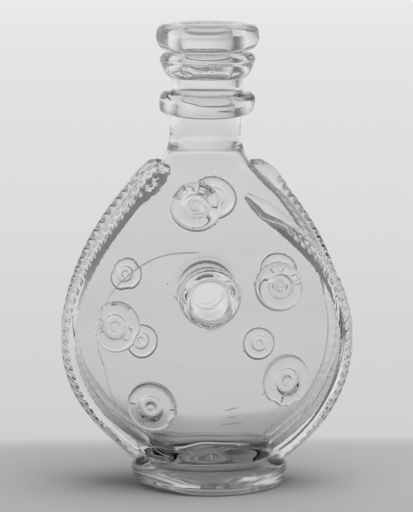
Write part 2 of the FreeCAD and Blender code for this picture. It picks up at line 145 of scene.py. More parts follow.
# How far the vessel's visible skin stays inside the form of the CAD, how deep a seat is
# let into it, how far inside its edge a seat is marked, and how near to the skin and to a
# mark a face of the vessel is taken for a seat.
SHY = 0.12
SEAT_DEPTH = 0.04
SEAT_MARGIN = 0.6
SEAT_SKIN_NEAR = 0.25
SEAT_MARK_NEAR = 0.62

# The flaws in the glass: the fractures' thin gaps, with the glass left over them, and how
# thick the hairline is and how deep it and the seeds lie.
CRACK_HALF_GAP = 0.02
CRACK_BREADTH = 1.5
CRACK_OVERLAP = 0.9
CRACK_COVER = 0.25
HAIRLINE_RADIUS = 0.34
HAIRLINE_DEPTH = 1.1
SEED_DEPTH = 1.15

# How finely each piece is drawn.
RING_TURN_POINTS = 220
RING_SECTION_POINTS = 60
NECK_SEAT_POINTS = 20
FOOT_TURN_POINTS = 260
FOOT_TOP_POINTS = 56
FOOT_LOW_POINTS = 24
SEAL_TURN_POINTS = 110
SEAL_RING_POINTS = 44
SEAL_UNDER_POINTS = 18
CRACK_TURN_POINTS = 15
CRACK_OUT_POINTS = 7
TRAIL_STEP = 0.45
TRAIL_OVER_POINTS = 36
TRAIL_UNDER_POINTS = 12
BODY_STEP = 1.25
BODY_GRID_MARGIN = 2.0
BODY_GRID_BELOW = 3.0
MOUTH_SEAM_DROP = 8.0

# The vessel's outer form from its base to the root of the neck: height, half width,
# half depth, and how much of the wall a level section cuts through, each as a share.
FORM_SHARES = (
    (0.000, 0.225, 0.400, 1.0), (0.012, 0.310, 0.540, 1.5), (0.031, 0.375, 0.625, 1.6),
    (0.056, 0.445, 0.700, 1.6), (0.079, 0.538, 0.770, 1.5), (0.108, 0.630, 0.840, 1.4),
    (0.146, 0.724, 0.900, 1.3), (0.197, 0.820, 0.955, 1.2), (0.268, 0.913, 0.990, 1.1),
    (0.338, 0.972, 1.000, 1.0), (0.414, 1.000, 1.000, 1.0), (0.490, 0.993, 0.985, 1.0),
    (0.567, 0.955, 0.955, 1.0), (0.650, 0.888, 0.900, 1.1), (0.732, 0.795, 0.820, 1.2),
    (0.809, 0.675, 0.727, 1.3), (0.873, 0.545, 0.645, 1.35), (0.924, 0.418, 0.590, 1.35),
    (0.962, 0.328, 0.560, 1.2), (1.000, 0.280, 0.545, 1.1),
)
NECK_SHARES = (0.12, 0.3, 0.5, 0.7, 0.85, 1.0)


def smooth_line(rows, count):
    """Points along a smooth curve that runs through the rows."""
    rows = np.array(rows, float)
    inner = len(rows) - 2
    system = 4 * np.eye(inner) + np.eye(inner, k=1) + np.eye(inner, k=-1)
    bends = np.zeros_like(rows)
    bends[1:-1] = np.linalg.solve(system, 6 * (rows[:-2] - 2 * rows[1:-1] + rows[2:]))
    along = np.linspace(0, len(rows) - 1, count)
    first = np.minimum(along.astype(int), len(rows) - 2)
    ahead = (along - first)[:, None]
    behind = 1 - ahead
    return (behind * rows[first] + ahead * rows[first + 1]
            + ((behind ** 3 - behind) * bends[first]
               + (ahead ** 3 - ahead) * bends[first + 1]) / 6)


def smooth_max(first, second, rounding):
    """The greater of two distances, rounded where they nearly agree."""
    near = np.maximum(rounding - np.abs(first - second), 0) / rounding
    return np.maximum(first, second) + near ** 3 * rounding / 6


def smooth_step(start, end, at):
    """Rises smoothly from 0 at start to 1 at end."""
    share = np.clip((at - start) / (end - start), 0, 1)
    return share * share * (3 - 2 * share)


def ripple(points, seed, length, count=7):
    """A gentle unevenness between about -1 and 1 whose waves are about a length long."""
    dice = np.random.default_rng(seed)
    waves = dice.normal(size=(count, 3))
    waves *= (2 * math.pi / length) * dice.uniform(0.6, 1.5, (count, 1)) / np.linalg.norm(
        waves, axis=1, keepdims=True)
    starts = dice.uniform(0, 2 * math.pi, count)
    total = sum(np.sin(points @ wave + start) for wave, start in zip(waves, starts))
    return total / math.sqrt(count) / 1.5


def unevenness(points, rows):
    """The sum of rows of waves: how strong each is, its seed and how long it is."""
    return sum(strength * ripple(points, seed, length) for strength, seed, length in rows)


def wound_on(points, seed, swell, length, fine):
    """The unevenness of glass wound on hot: a long swell and finer waves along the winding."""
    return swell * ripple(points, seed, length) + fine * ripple(
        points * (1, 1, 2), seed + 1, FINE_WAVE)


class OvalForm:
    """A solid of level ovals whose half width and half depth follow the height."""

    def __init__(self, rows):
        line = smooth_line(rows, 6000)
        self.heights = line[:, 2]
        self.halves = line[:, :2]
        self.slopes = np.gradient(line[:, :2], line[:, 2], axis=0)

    def half_sizes(self, height):
        """The half width and half depth of the level section at a height."""
        return [np.interp(height, self.heights, self.halves[:, axis]) for axis in (0, 1)]

    def distance(self, points):
        """About how far each point is outside the form."""
        x, y, z = points.T
        width, depth = self.half_sizes(z)
        width_slope, depth_slope = [
            np.interp(z, self.heights, self.slopes[:, axis]) for axis in (0, 1)]
        reach = np.maximum(np.hypot(x / width, y / depth), 0.05)
        rise = np.stack([x / width ** 2, y / depth ** 2,
                         -(x ** 2 * width_slope / width ** 3 + y ** 2 * depth_slope / depth ** 3)])
        return (reach - 1) * reach / np.maximum(np.linalg.norm(rise, axis=0), 1e-6)


def outer_rows():
    """The rows of the vessel's outer form, with the neck up to the cap of the lip."""
    rows = [(width * BODY_WIDTH / 2 - SHY, depth * BODY_DEPTH / 2 - SHY,
             BODY_LIFT + height * BODY_HEIGHT) for height, width, depth, _ in FORM_SHARES]
    neck = NECK_RADIUS - SHY
    return rows + [(neck, neck, SHOULDER + share * (TOP + LIP_CAP - SHOULDER))
                   for share in NECK_SHARES]


def hollow_rows():
    """The rows of the hollow inside the vessel."""
    low = BODY_LIFT + BASE_WALL
    rows = [(width * BODY_WIDTH / 2 - cut * WALL, depth * BODY_DEPTH / 2 - cut * WALL,
             low + height * (SHOULDER - low)) for height, width, depth, cut in FORM_SHARES]
    bore_foot = TOP - LIP_CAP - MOUTH_LENGTH
    taper_foot = bore_foot - 4 * MOUTH_TAPER
    rows += [(NECK_BORE, NECK_BORE, SHOULDER + share * (taper_foot - SHOULDER))
             for share in NECK_SHARES]
    return rows + [(MOUTH_BORE, MOUTH_BORE, height)
                   for height in (bore_foot, bore_foot + MOUTH_LENGTH / 2, TOP + LIP_CAP)]


OUTER = OvalForm(outer_rows())
HOLLOW = OvalForm(hollow_rows())


def hole_distance(points, wall):
    """About how far each point is inside the hole through the middle, grown by a wall."""
    x, y, z = points.T
    share = y / HOLE_WAIST_REACH
    radius = HOLE_THROAT + (HOLE_WAIST_END - HOLE_THROAT) * share ** 2 + wall
    return radius - np.hypot(x - HOLE_ACROSS, z - HOLE_HEIGHT)


def kick_distance(points):
    """How far each point is inside the low dome pushed up into the base."""
    dome = (KICK_RADIUS ** 2 + KICK_HEIGHT ** 2) / (2 * KICK_HEIGHT)
    middle = np.array([0, 0, BODY_LIFT + KICK_HEIGHT - dome])
    return dome - np.linalg.norm(points - middle, axis=1)


def lean_at(height):
    """How far to the left the neck leans at a height. Its top leans a little to the right."""
    return (NECK_LEAN * smooth_step(*NECK_LEAN_FROM_BELOW, height)
            * smooth_step(*NECK_LEAN_FROM_ABOVE, height)
            - TOP_LEAN * smooth_step(*TOP_LEAN_FROM_BELOW, height))


def set_upright(points):
    """The points moved back against the neck's slight lean and against the tuck low down on
    the vessel's left, so that its form is even."""
    tuck = LEFT_TUCK * smooth_step(*LEFT_TUCK_ACROSS, points[:, 0]) * np.exp(
        -((points[:, 2] - LEFT_TUCK_HEIGHT) / LEFT_TUCK_SPREAD) ** 2)
    lean = lean_at(points[:, 2]) - tuck
    return points + np.column_stack([lean, 0 * lean, 0 * lean])


def vessel_outside(points):
    """Distance outside the vessel's outer skin, with the hole and the kick taken out."""
    height = points[:, 2]
    neck = smooth_step(SHOULDER - NECK_SWELL_BLEND, SHOULDER, height)
    swell = BODY_SWELL - (BODY_SWELL - NECK_SWELL) * neck
    form = OUTER.distance(set_upright(points))
    form = form + swell * (1 + ripple(points, OUTER_SEED, OUTER_WAVE))
    form = smooth_max(form, BODY_LIFT - height, BASE_ROUNDING)
    form = smooth_max(form, hole_distance(points, 0), HOLE_ROUNDING)
    form = smooth_max(form, kick_distance(points), BASE_ROUNDING)
    return smooth_max(form, height - (TOP - LIP_CAP), RIM_ROUNDING)


def vessel_hollow(points):
    """Distance outside the hollow that the vessel's glass closes in."""
    height = points[:, 2]
    form = HOLLOW.distance(set_upright(points)) + unevenness(points, HOLLOW_WAVES)
    form = form + smooth_step(*BASE_WAVES_FROM_ABOVE, height) * unevenness(points, BASE_WAVES)
    form = smooth_max(form, BODY_LIFT + BASE_WALL - height, BASE_INNER_ROUNDING)
    over = smooth_step(*HOLE_THICKENING_RISE, height - HOLE_HEIGHT)
    over = HOLE_THICKENING_UNDER + (1 - HOLE_THICKENING_UNDER) * over
    thickening = HOLE_THICKENING * over * smooth_step(*HOLE_THICKENING_REACH, np.abs(points[:, 1]))
    return smooth_max(form, hole_distance(points, WALL + thickening), HOLE_INNER_ROUNDING)


def vessel_glass(points):
    """Distance outside the vessel's glass: within the outer skin and not in the hollow."""
    return smooth_max(vessel_outside(points), -vessel_hollow(points), MOUTH_ROUNDING)


def slope(field, points, reach=0.15):
    """The direction in which a field grows fastest at each point, with its size."""
    sides = []
    for axis in range(3):
        step = np.zeros(3)
        step[axis] = reach
        sides.append((field(points + step) - field(points - step)) / (2 * reach))
    return np.stack(sides, axis=1)


def settle(field, points, rounds=5):
    """Move points straight onto the surface where a field is zero."""
    for _ in range(rounds):
        rise = slope(field, points)
        shift = field(points) / np.maximum((rise ** 2).sum(1), 0.1)
        points = points - rise * np.clip(shift, -1, 1)[:, None]
    return points


def skin_over(field, hollow, seam, low, high, step):
    """A closed skin where a field is zero. Each cell of a grid that the skin passes
    through gets a point for the outer skin, and one for the skin of the hollow, and each
    edge of the grid that it crosses gets a face. Above the seam the two skins are one."""
    axes = [np.arange(first, last + step, step) for first, last in zip(low, high)]
    ground = np.stack(np.meshgrid(axes[0], axes[1], indexing="ij"), axis=-1).reshape(-1, 2)
    values = np.empty([len(axis) for axis in axes])
    rooms = np.zeros(values.shape, bool)
    for number, height in enumerate(axes[2]):
        slab = np.column_stack([ground, np.full(len(ground), height)])
        values[:, :, number] = field(slab).reshape(values.shape[:2])
        rooms[:, :, number] = hollow(slab).reshape(values.shape[:2]) < 0
    cells = np.array(values.shape) - 1
    joined = axes[2][:-1] > seam
    total = np.zeros((2, *cells, 3))
    crossings = np.zeros((2, *cells))
    for axis in range(3):
        others = [other for other in range(3) if other != axis]
        for first in (0, 1):
            for second in (0, 1):
                start = [slice(0, cells[0]), slice(0, cells[1]), slice(0, cells[2])]
                for other, offset in zip(others, (first, second)):
                    start[other] = slice(offset, cells[other] + offset)
                end = list(start)
                end[axis] = slice(1, cells[axis] + 1)
                start, end = tuple(start), tuple(end)
                before, after = values[start], values[end]
                crossed = (before < 0) != (after < 0)
                inner = np.where(before < 0, rooms[end], rooms[start]) & ~joined
                share = np.where(crossed, before / np.where(crossed, before - after, 1), 0)
                for layer, here in enumerate((crossed & ~inner, crossed & inner)):
                    crossings[layer] += here
                    total[layer, ..., axis] += share * here
                    total[layer, ..., others[0]] += here * first
                    total[layer, ..., others[1]] += here * second
    used = crossings > 0
    number_of = np.full(used.shape, -1)
    number_of[used] = np.arange(used.sum())
    corners = np.argwhere(used)[:, 1:] + total[used] / crossings[used][:, None]
    points = np.array(low) + corners * step
    faces = []
    for axis in range(3):
        first, second = [(axis + 1) % 3, (axis + 2) % 3]
        start = [slice(None)] * 3
        end = [slice(None)] * 3
        start[axis], end[axis] = slice(None, -1), slice(1, None)
        before, after = values[tuple(start)], values[tuple(end)]
        inner = np.where(before < 0, rooms[tuple(end)], rooms[tuple(start)])
        for crossed, turn in (((before < 0) & (after >= 0), 1),
                              ((before >= 0) & (after < 0), -1)):
            at = np.argwhere(crossed)
            ring = []
            for back_first, back_second in ((1, 1), (0, 1), (0, 0), (1, 0))[::turn]:
                cell = at.copy()
                cell[:, first] -= back_first
                cell[:, second] -= back_second
                layer = (inner[crossed] & ~joined[cell[:, 2]]).astype(int)
                ring.append(number_of[(layer, *cell.T)])
            faces.append(np.stack(ring, axis=1))
    return settle(field, points), np.concatenate(faces)


def outward(points, faces):
    """The faces, turned round if they don't face out of the solid that they close."""
    first, second, third, fourth = [points[faces[:, corner]] for corner in range(4)]
    volume = (np.cross(first, second) * third).sum() + (np.cross(first, third) * fourth).sum()
    return faces if volume > 0 else faces[:, ::-1]


def add_piece(name, points, faces, seats, node, material):
    """A piece of glass from its points in millimetres, riding on the frame in place of the
    CAD node that it stands for. Its edges between open glass and seat stay sharp."""
    mesh = bpy.data.meshes.new(name)
    corners = [list(dict.fromkeys(face)) for face in faces.tolist()]
    mesh.from_pydata((points * MM).tolist(), [], corners)
    mesh.polygons.foreach_set("material_index", seats.astype(np.int32))
    mesh.polygons.foreach_set("use_smooth", np.ones(len(mesh.polygons), bool))
    mesh.materials.append(material)
    mesh.materials.append(SEAT)
    owners = {}
    for face in mesh.polygons:
        for edge in face.edge_keys:
            owners.setdefault(edge, set()).add(face.material_index)
    sharp = [len(owners.get(tuple(sorted(edge.vertices)), ())) > 1 for edge in mesh.edges]
    mesh.attributes.new("sharp_edge", "BOOLEAN", "EDGE").data.foreach_set("value", sharp)
    piece = bpy.data.objects.new(name, mesh)
    bpy.context.scene.collection.objects.link(piece)
    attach(piece, "root")
    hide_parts(node)
    return piece


def loops_to_faces(loops, closed):
    """The points and four-sided faces of a skin over loops of points that follow each
    other. Where the row of loops isn't closed, its two ends get a fan."""
    count, around = loops.shape[:2]
    number = np.arange(count * around).reshape(count, around)
    here, there = (number, np.roll(number, -1, axis=0)) if closed else (number[:-1], number[1:])
    faces = [np.stack([here, np.roll(here, -1, axis=1), np.roll(there, -1, axis=1), there],
                      axis=-1).reshape(-1, 4)]
    points = [loops.reshape(-1, 3)]
    if not closed:
        for loop, middle, turn in ((0, count * around, 1), (-1, count * around + 1, -1)):
            ring = number[loop][::turn]
            fan = np.stack([ring, np.full(around, middle), np.full(around, middle),
                            np.roll(ring, -1)], axis=1)
            faces.append(fan)
            points.append(loops[loop].mean(axis=0)[None])
    return np.concatenate(points), np.concatenate(faces)


# Points on the seats of the pieces made so far, a little inside their edges.
seat_points = []


def skin_and_normal(points):
    """The nearest points on the vessel's outer skin, and the directions straight out."""
    found = settle(vessel_outside, points)
    out = slope(vessel_outside, found)
    return found, out / np.linalg.norm(out, axis=1, keepdims=True)


def sit_on_skin(loops, touching):
    """The loops with their touching points let a little into the vessel's skin."""
    settled, out = skin_and_normal(loops[:, touching].reshape(-1, 3))
    loops[:, touching] = (settled - out * SEAT_DEPTH).reshape(len(loops), -1, 3)
    return loops


def add_turned(name, loops, outer, node, material):
    """A piece that is turned round the vessel. The points of each loop beyond its outer
    ones lie on its seat."""
    points, faces = loops_to_faces(loops, True)
    seats = (faces % loops.shape[1] >= outer).any(axis=1)
    seat_points.append(loops[:, outer + 1:-1].reshape(-1, 3))
    add_piece(name, points, outward(points, faces), seats, node, material)


def on_form(face_side, across, height):
    """A point on the vessel's even form: on its front (-1) or its back (1), how far across
    and how high."""
    width, depth = OUTER.half_sizes(height)
    return np.array([[across, face_side * depth * math.sqrt(1 - (across / width) ** 2), height]])


def void_blob(middle, along, across, out, halves):
    """The skin of a bubble in the glass: a small ball drawn out three ways. Its faces look
    into the bubble."""
    rings, around = 9, 14
    loops = []
    for turn in np.linspace(0.12, math.pi - 0.12, rings):
        spin = np.linspace(0, 2 * math.pi, around, endpoint=False)
        loops.append(middle + halves[0] * math.cos(turn) * along
                     + halves[1] * math.sin(turn) * np.cos(spin)[:, None] * across
                     + halves[2] * math.sin(turn) * np.sin(spin)[:, None] * out)
    points, faces = loops_to_faces(np.array(loops), False)
    return points, outward(points, faces)[:, ::-1]


def void_thread(line, radius):
    """The skin of a hair-thin channel in the glass along a line, with tapered ends."""
    along = np.gradient(line, axis=0)
    along /= np.linalg.norm(along, axis=1, keepdims=True)
    out = np.cross(along, (0.0, 1.0, 0.0))
    out /= np.linalg.norm(out, axis=1, keepdims=True)
    across = np.cross(along, out)
    spin = np.linspace(0, 2 * math.pi, 6, endpoint=False)
    from_start = np.arange(len(line))
    from_end = from_start[::-1]
    thick = radius * np.sqrt(np.clip(np.minimum(from_start, from_end) / 6, 0.05, 1))
    loops = line[:, None] + thick[:, None, None] * (
        np.cos(spin)[None, :, None] * out[:, None] + np.sin(spin)[None, :, None] * across[:, None])
    points, faces = loops_to_faces(loops, False)
    return points, outward(points, faces)[:, ::-1]


def with_voids(points, faces, seats, voids):
    """The skin of a piece together with the skins of the bubbles in its glass."""
    for void_points, void_faces in voids:
        faces = np.concatenate([faces, void_faces + len(points)])
        points = np.concatenate([points, void_points])
        seats = np.concatenate([seats, np.zeros(len(void_faces), bool)])
    return points, faces, seats


class Value:
    """A number worked out inside a material, which takes ordinary arithmetic."""

    def __init__(self, recipe, socket):
        self.recipe = recipe
        self.socket = socket

    def worked(self, operation, first, second):
        return self.recipe.add("ShaderNodeMath", {0: first, 1: second}, operation=operation)

    def __add__(self, other):
        return self.worked("ADD", self, other)

    def __sub__(self, other):
        return self.worked("SUBTRACT", self, other)

    def __rsub__(self, other):
        return self.worked("SUBTRACT", other, self)

    def __mul__(self, other):
        return self.worked("MULTIPLY", self, other)

    __radd__ = __add__
    __rmul__ = __mul__


class Recipe:
    """The nodes of one material, or of the room's light."""

    def __init__(self, tree):
        self.tree = tree

    def add(self, kind, inputs, output=0, **settings):
        """Make a node, set or join its inputs, and give one of its outputs."""
        node = self.tree.nodes.new(kind)
        for name, setting in settings.items():
            setattr(node, name, setting)
        self.join(node, inputs)
        return Value(self, node.outputs[output])

    def join(self, node, inputs):
        """Set a node's inputs to plain values, or join them to worked ones."""
        for name, given in inputs.items():
            if isinstance(given, Value):
                self.tree.links.new(given.socket, node.inputs[name])
            else:
                node.inputs[name].default_value = given

    def ramp(self, along, low, high, stops):
        """Grey tones that follow a number between its low and its high."""
        share = self.add("ShaderNodeMapRange", {"Value": along, "From Min": low, "From Max": high})
        node = self.tree.nodes.new("ShaderNodeValToRGB")
        self.join(node, {"Fac": share})
        elements = node.color_ramp.elements
        while len(elements) < len(stops):
            elements.new(0.5)
        for element, (at, tone) in zip(elements, stops):
            element.position = at
            element.color = (tone, tone, tone, 1)
        return Value(self, node.outputs["Color"])


def clear_glass(name, tint, deep_tint, cord_length, cord_height, dullness):
    """Clear glass. Its tint deepens in clouds, its fire polish is duller in patches, and
    cords in the glass, drawn out along the bottle, make its skin faintly wavy."""
    material = bpy.data.materials.new(name)
    material.use_nodes = True
    recipe = Recipe(material.node_tree)
    place = recipe.add("ShaderNodeTexCoord", {}, "Object")
    clouds = recipe.add("ShaderNodeTexNoise", {
        "Vector": place, "Scale": 30.0, "Detail": 3.0}, "Fac")
    drawn = recipe.add("ShaderNodeVectorMath", {
        0: place, 1: (1.0, 1.0, 0.3)}, operation="MULTIPLY")
    cords = recipe.add("ShaderNodeTexNoise", {
        "Vector": drawn, "Scale": 1 / (cord_length * MM), "Detail": 1.5, "Roughness": 0.4}, "Fac")
    rubs = recipe.add("ShaderNodeTexNoise", {
        "Vector": place, "Scale": 210.0, "Detail": 4.0}, "Fac")
    tone = recipe.add("ShaderNodeMix", {
        0: clouds, 6: (*[tint] * 3, 1), 7: (*[deep_tint] * 3, 1)}, 2, data_type="RGBA")
    skin = recipe.add("ShaderNodeBump", {
        "Strength": 1.0, "Distance": cord_height * MM, "Height": cords + 0.04 * rubs})
    recipe.join(material.node_tree.nodes["Principled BSDF"], {
        "Base Color": tone, "Roughness": dullness * clouds * rubs, "Normal": skin,
        "Transmission Weight": 1.0, "IOR": GLASS_IOR})
    return material


def fused_seat():
    """Where one piece of glass has run into another there is nothing to see."""
    material = bpy.data.materials.new("fused_seat")
    material.use_nodes = True
    Recipe(material.node_tree).join(material.node_tree.nodes["Principled BSDF"], {
        "Base Color": (1.0, 1.0, 1.0, 1.0), "Roughness": 0.0,
        "Transmission Weight": 1.0, "IOR": 1.0})
    return material


SEAT = fused_seat()
BLOWN = clear_glass("blown_glass", 0.970, 0.945, 22, 0.05, 0.03)
RING = clear_glass("ring_glass", 0.970, 0.940, 9, 0.04, 0.04)
FOOT = clear_glass("foot_glass", 0.955, 0.925, 12, 0.05, 0.55)
TRAIL = clear_glass("trail_glass", 0.980, 0.950, 7, 0.03, 0.04)
SEAL = clear_glass("seal_glass", 0.985, 0.960, 8, 0.02, 0.03)


# The rings' outlines, from the neck below out and up and back in: how far from the middle
# of the neck, and how high above the ring's foot.
LIP_OUTLINE = (
    (NECK_RADIUS, 0.0), (18.4, 0.1), (21.5, 0.8), (23.6, 2.8), (LIP_RADIUS, 5.8), (24.5, 8.4),
    (23.8, 10.6), (21.8, 12.1), (18.6, LIP_HEIGHT - 0.1), (15.4, LIP_HEIGHT - 0.02),
    (13.4, LIP_HEIGHT - 0.16), (MOUTH_BORE + 0.16, LIP_HEIGHT - 0.6),
    (MOUTH_BORE + 0.02, LIP_HEIGHT - LIP_CAP - LIP_SEAT_DROP),
)
MIDDLE_OUTLINE = (
    (NECK_RADIUS, 0.0), (17.8, 0.1), (19.6, 1.4), (21.1, 3.8), (22.3, 6.8), (MIDDLE_RADIUS, 8.6),
    (22.2, 10.3), (20.8, 11.6), (18.4, 12.15), (NECK_RADIUS, MIDDLE_HEIGHT),
)
COLLAR_OUTLINE = (
    (NECK_RADIUS, 0.0), (18.2, 0.05), (20.9, 0.6), (22.3, 2.2), (22.8, 4.6), (COLLAR_RADIUS, 6.8),
    (22.7, 8.4), (21.9, 9.6), (20.8, 10.4), (19.4, 10.7), (NECK_RADIUS, COLLAR_HEIGHT),
)
# Where the lip sits on the neck's rim: how far from the middle.
LIP_SEAT_REACHES = (MOUTH_BORE + 0.5, 14.2, 15.6, NECK_RADIUS - 0.3, NECK_RADIUS)
# The creases in the rings' fronts: where each starts and ends, across and up, how broad it
# is and how deep.
LIP_CREASES = (
    ((-20.0, 214.0), (17.0, 215.2), 0.5, 0.05), ((-15.0, 211.6), (20.0, 211.0), 0.45, 0.05),
    ((6.0, 217.6), (19.0, 217.0), 0.5, 0.07),
)
MIDDLE_CREASES = (
    ((-11.0, 203.6), (-1.0, 202.4), 0.55, 0.3), ((-9.5, 200.6), (-2.5, 198.6), 0.5, 0.34),
    ((-14.0, 198.6), (-8.0, 196.8), 0.6, 0.25), ((1.0, 199.4), (1.5, 199.0), 0.7, 0.55),
    ((6.0, 201.4), (16.0, 200.4), 0.5, 0.12),
)
COLLAR_CREASES = (
    ((-12.0, 188.6), (-2.8, 185.6), 0.6, 0.42), ((-20.0, 187.0), (-15.5, 184.6), 0.6, 0.4),
    ((4.0, 182.6), (15.0, 182.0), 0.6, 0.12), ((-9.0, 180.8), (3.0, 180.2), 0.5, 0.1),
)


def level(x, y):
    """No sway at all."""
    return 0 * x


def collar_sway(x, y):
    """The lower collar sits a little askew and sags at the front and less at the back."""
    on_ring = smooth_step(NECK_RADIUS - 1, NECK_RADIUS + 1, np.hypot(x, y))
    sag = COLLAR_SAG * np.where(y < 0, 1, COLLAR_BACK_SAG_SHARE) * (y / COLLAR_RADIUS) ** 2
    return -math.tan(math.radians(COLLAR_TILT)) * x - sag * on_ring


def groove(points, start, end, breadth, depth):
    """How deep a crease runs at each point of a ring's front, from a start to an end given
    by how far across and how high they are."""
    start, end = np.array(start, float), np.array(end, float)
    flat = points[:, [0, 2]] - start
    share = np.clip(flat @ (end - start) / ((end - start) @ (end - start)), 0, 1)
    away = np.linalg.norm(flat - share[:, None] * (end - start), axis=1)
    taper = 0.35 + 0.65 * np.sin(math.pi * share)
    return (points[:, 1] < 0) * depth * taper * np.exp(-(away / breadth) ** 2)


def turned_ring(name, outline, foot, rim_seat, node, seed, sway, creases):
    """A ring turned round the neck from its outline, over its foot's height, with the
    unevenness and the creases of glass wound on by hand. It sits on the neck's side, and
    where reaches are given for it, on the neck's rim too."""
    section = smooth_line(outline, RING_SECTION_POINTS) + (0, foot)
    high = section[-1, 1]
    heights = np.linspace(high, foot, NECK_SEAT_POINTS + 2)[1:-1]
    under = np.array([(reach, high) for reach in rim_seat]
                     + [(NECK_RADIUS, height) for height in heights])
    around = np.linspace(0, 2 * math.pi, RING_TURN_POINTS, endpoint=False)
    way = np.column_stack([np.cos(around), np.sin(around)])
    loop = np.concatenate([section, under])
    loops = np.concatenate([loop[None, :, :1] * way[:, None, :],
                            np.broadcast_to(loop[None, :, 1:], (len(way), len(loop), 1))], axis=2)
    outer = len(section)
    flat = loops[:, :outer].reshape(-1, 3)
    reach = np.hypot(flat[:, 0], flat[:, 1])
    turns = (flat[:, 2] + WOUND_SLANT * flat[:, 0]) / WOUND_PITCH
    wound = 0.5 + 0.5 * np.sin(2 * math.pi * turns + ripple(flat, seed, 30))
    swell = wound_on(flat, seed, 0.12, 26, 0.03) - 0.02 * wound
    for crease in creases:
        swell = swell - groove(flat, *crease)
    swell = smooth_step(NECK_RADIUS, NECK_RADIUS + 2, reach) * (swell - RING_SHY)
    flat[:, :2] *= (1 + swell / np.maximum(reach, 1))[:, None]
    loops[:, :outer] = flat.reshape(len(way), outer, 3)
    loops[..., 0] -= lean_at(loops[..., 2])
    loops[..., 2] += sway(loops[..., 0], loops[..., 1])
    ends = [True, *[False] * (outer - 2), section[-1, 0] > NECK_RADIUS - 1]
    loops = sit_on_skin(loops, np.concatenate([ends, under[:, 0] > NECK_RADIUS - 0.1]))
    add_turned(name, loops, outer, node, RING)


def make_rings():
    """The barrel laid round the mouth, with a rounded top that caps the neck, the second
    ring, widest near its top and drawn in below, and the lower collar, widest at its
    middle with a sloping top."""
    lip_foot = TOP - LIP_HEIGHT
    middle_foot = lip_foot - MIDDLE_GAP - MIDDLE_HEIGHT
    collar_foot = middle_foot - COLLAR_GAP - COLLAR_HEIGHT
    turned_ring("lip_barrel", LIP_OUTLINE, lip_foot, LIP_SEAT_REACHES, "lip_ring", 21, level,
                LIP_CREASES)
    turned_ring("middle_band", MIDDLE_OUTLINE, middle_foot, (), "middle_ring", 33, level,
                MIDDLE_CREASES)
    turned_ring("lower_band", COLLAR_OUTLINE, collar_foot, (), "lower_collar", 45, collar_sway,
                COLLAR_CREASES)


def skin_reach(height, way):
    """How far out the vessel's form is at a height, along level directions."""
    width, depth = OUTER.half_sizes(height)
    return 1 / np.hypot(way[:, 0] / width, way[:, 1] / depth)


def foot_outline(high_reach, low_reach):
    """The foot's outline in one direction, from where it leaves the vessel over its
    shoulder down to its tread, and from its inner tread up to the vessel's base."""
    low = BODY_LIFT + FOOT_SEAT_LIFT
    over = [(high_reach, FOOT_CROWN), (0.5 * (high_reach + FOOT_SHOULDER), FOOT_CROWN - 0.15),
            (FOOT_SHOULDER, FOOT_HEIGHT), (FOOT_RADIUS - 1.4, FOOT_HEIGHT - 0.9),
            (FOOT_RADIUS - 0.25, 0.82 * FOOT_HEIGHT), (FOOT_RADIUS, 0.66 * FOOT_HEIGHT),
            (FOOT_RADIUS - 0.5, 0.44 * FOOT_HEIGHT), (FOOT_RADIUS - 1.7, 0.22 * FOOT_HEIGHT),
            (FOOT_TREAD + 0.4, 0.5), (FOOT_TREAD - 1.7, 0.0)]
    under = [(FOOT_INNER_TREAD + 0.8, 0.0), (FOOT_INNER_TREAD - 1.2, 0.25),
             (0.5 * (FOOT_INNER_TREAD + low_reach), FOOT_HOLLOW), (low_reach, low)]
    return np.concatenate([smooth_line(over, FOOT_TOP_POINTS), smooth_line(under, FOOT_LOW_POINTS)])


def make_foot():
    """The thick applied foot: a round pad pressed on under the base, fullest near its top,
    drawn in to its tread, hollow below, and lifted a little at the front left."""
    around = np.linspace(0, 2 * math.pi, FOOT_TURN_POINTS, endpoint=False)
    way = np.column_stack([np.cos(around), np.sin(around)])
    low = BODY_LIFT + FOOT_SEAT_LIFT
    heights = np.linspace(low, FOOT_CROWN, NECK_SEAT_POINTS + 2)[1:-1]
    seat_reaches = np.column_stack([skin_reach(height, way) for height in heights])
    loops = []
    for way_here, high_reach, low_reach, seat_reach in zip(
            way, skin_reach(FOOT_CROWN, way), skin_reach(low, way), seat_reaches):
        loop = np.concatenate([foot_outline(high_reach, low_reach),
                               np.column_stack([seat_reach, heights])])
        loops.append(np.column_stack([loop[:, :1] * way_here, loop[:, 1]]))
    loops = np.array(loops)
    outer = FOOT_TOP_POINTS + FOOT_LOW_POINTS
    flat = loops[:, :outer].reshape(-1, 3)
    reach = np.hypot(flat[:, 0], flat[:, 1])
    swell = smooth_step(0, 3, flat[:, 2]) * smooth_step(24, 31, reach) * (
        wound_on(flat, 51, 0.2, 34, 0.04) - FOOT_SHY)
    flat[:, :2] *= (1 + swell / np.maximum(reach, 1))[:, None]
    flat[:, 2] += smooth_step(1.5, 5, flat[:, 2]) * smooth_step(23, 30, reach) * (
        0.25 * ripple(flat, 53, 30))
    turn = np.degrees(np.arctan2(flat[:, 1], flat[:, 0])) - FOOT_LIFT_TURN
    lift = FOOT_LIFT * np.exp(-(turn / FOOT_LIFT_SPREAD) ** 2) * smooth_step(29.5, 35, reach)
    flat[:, 2] += lift * smooth_step(FOOT_HEIGHT, 2, flat[:, 2])
    flat[:, 2] = np.maximum(flat[:, 2], 0)
    flat[:, 0] += FOOT_ASIDE * smooth_step(20, 30, reach)
    loops[:, :outer] = flat.reshape(len(way), outer, 3)
    on_skin = [True, *[False] * (outer - 2), *[True] * (loops.shape[1] - outer + 1)]
    add_turned("applied_foot", sit_on_skin(loops, np.array(on_skin)), outer,
               "foot_ring", FOOT)


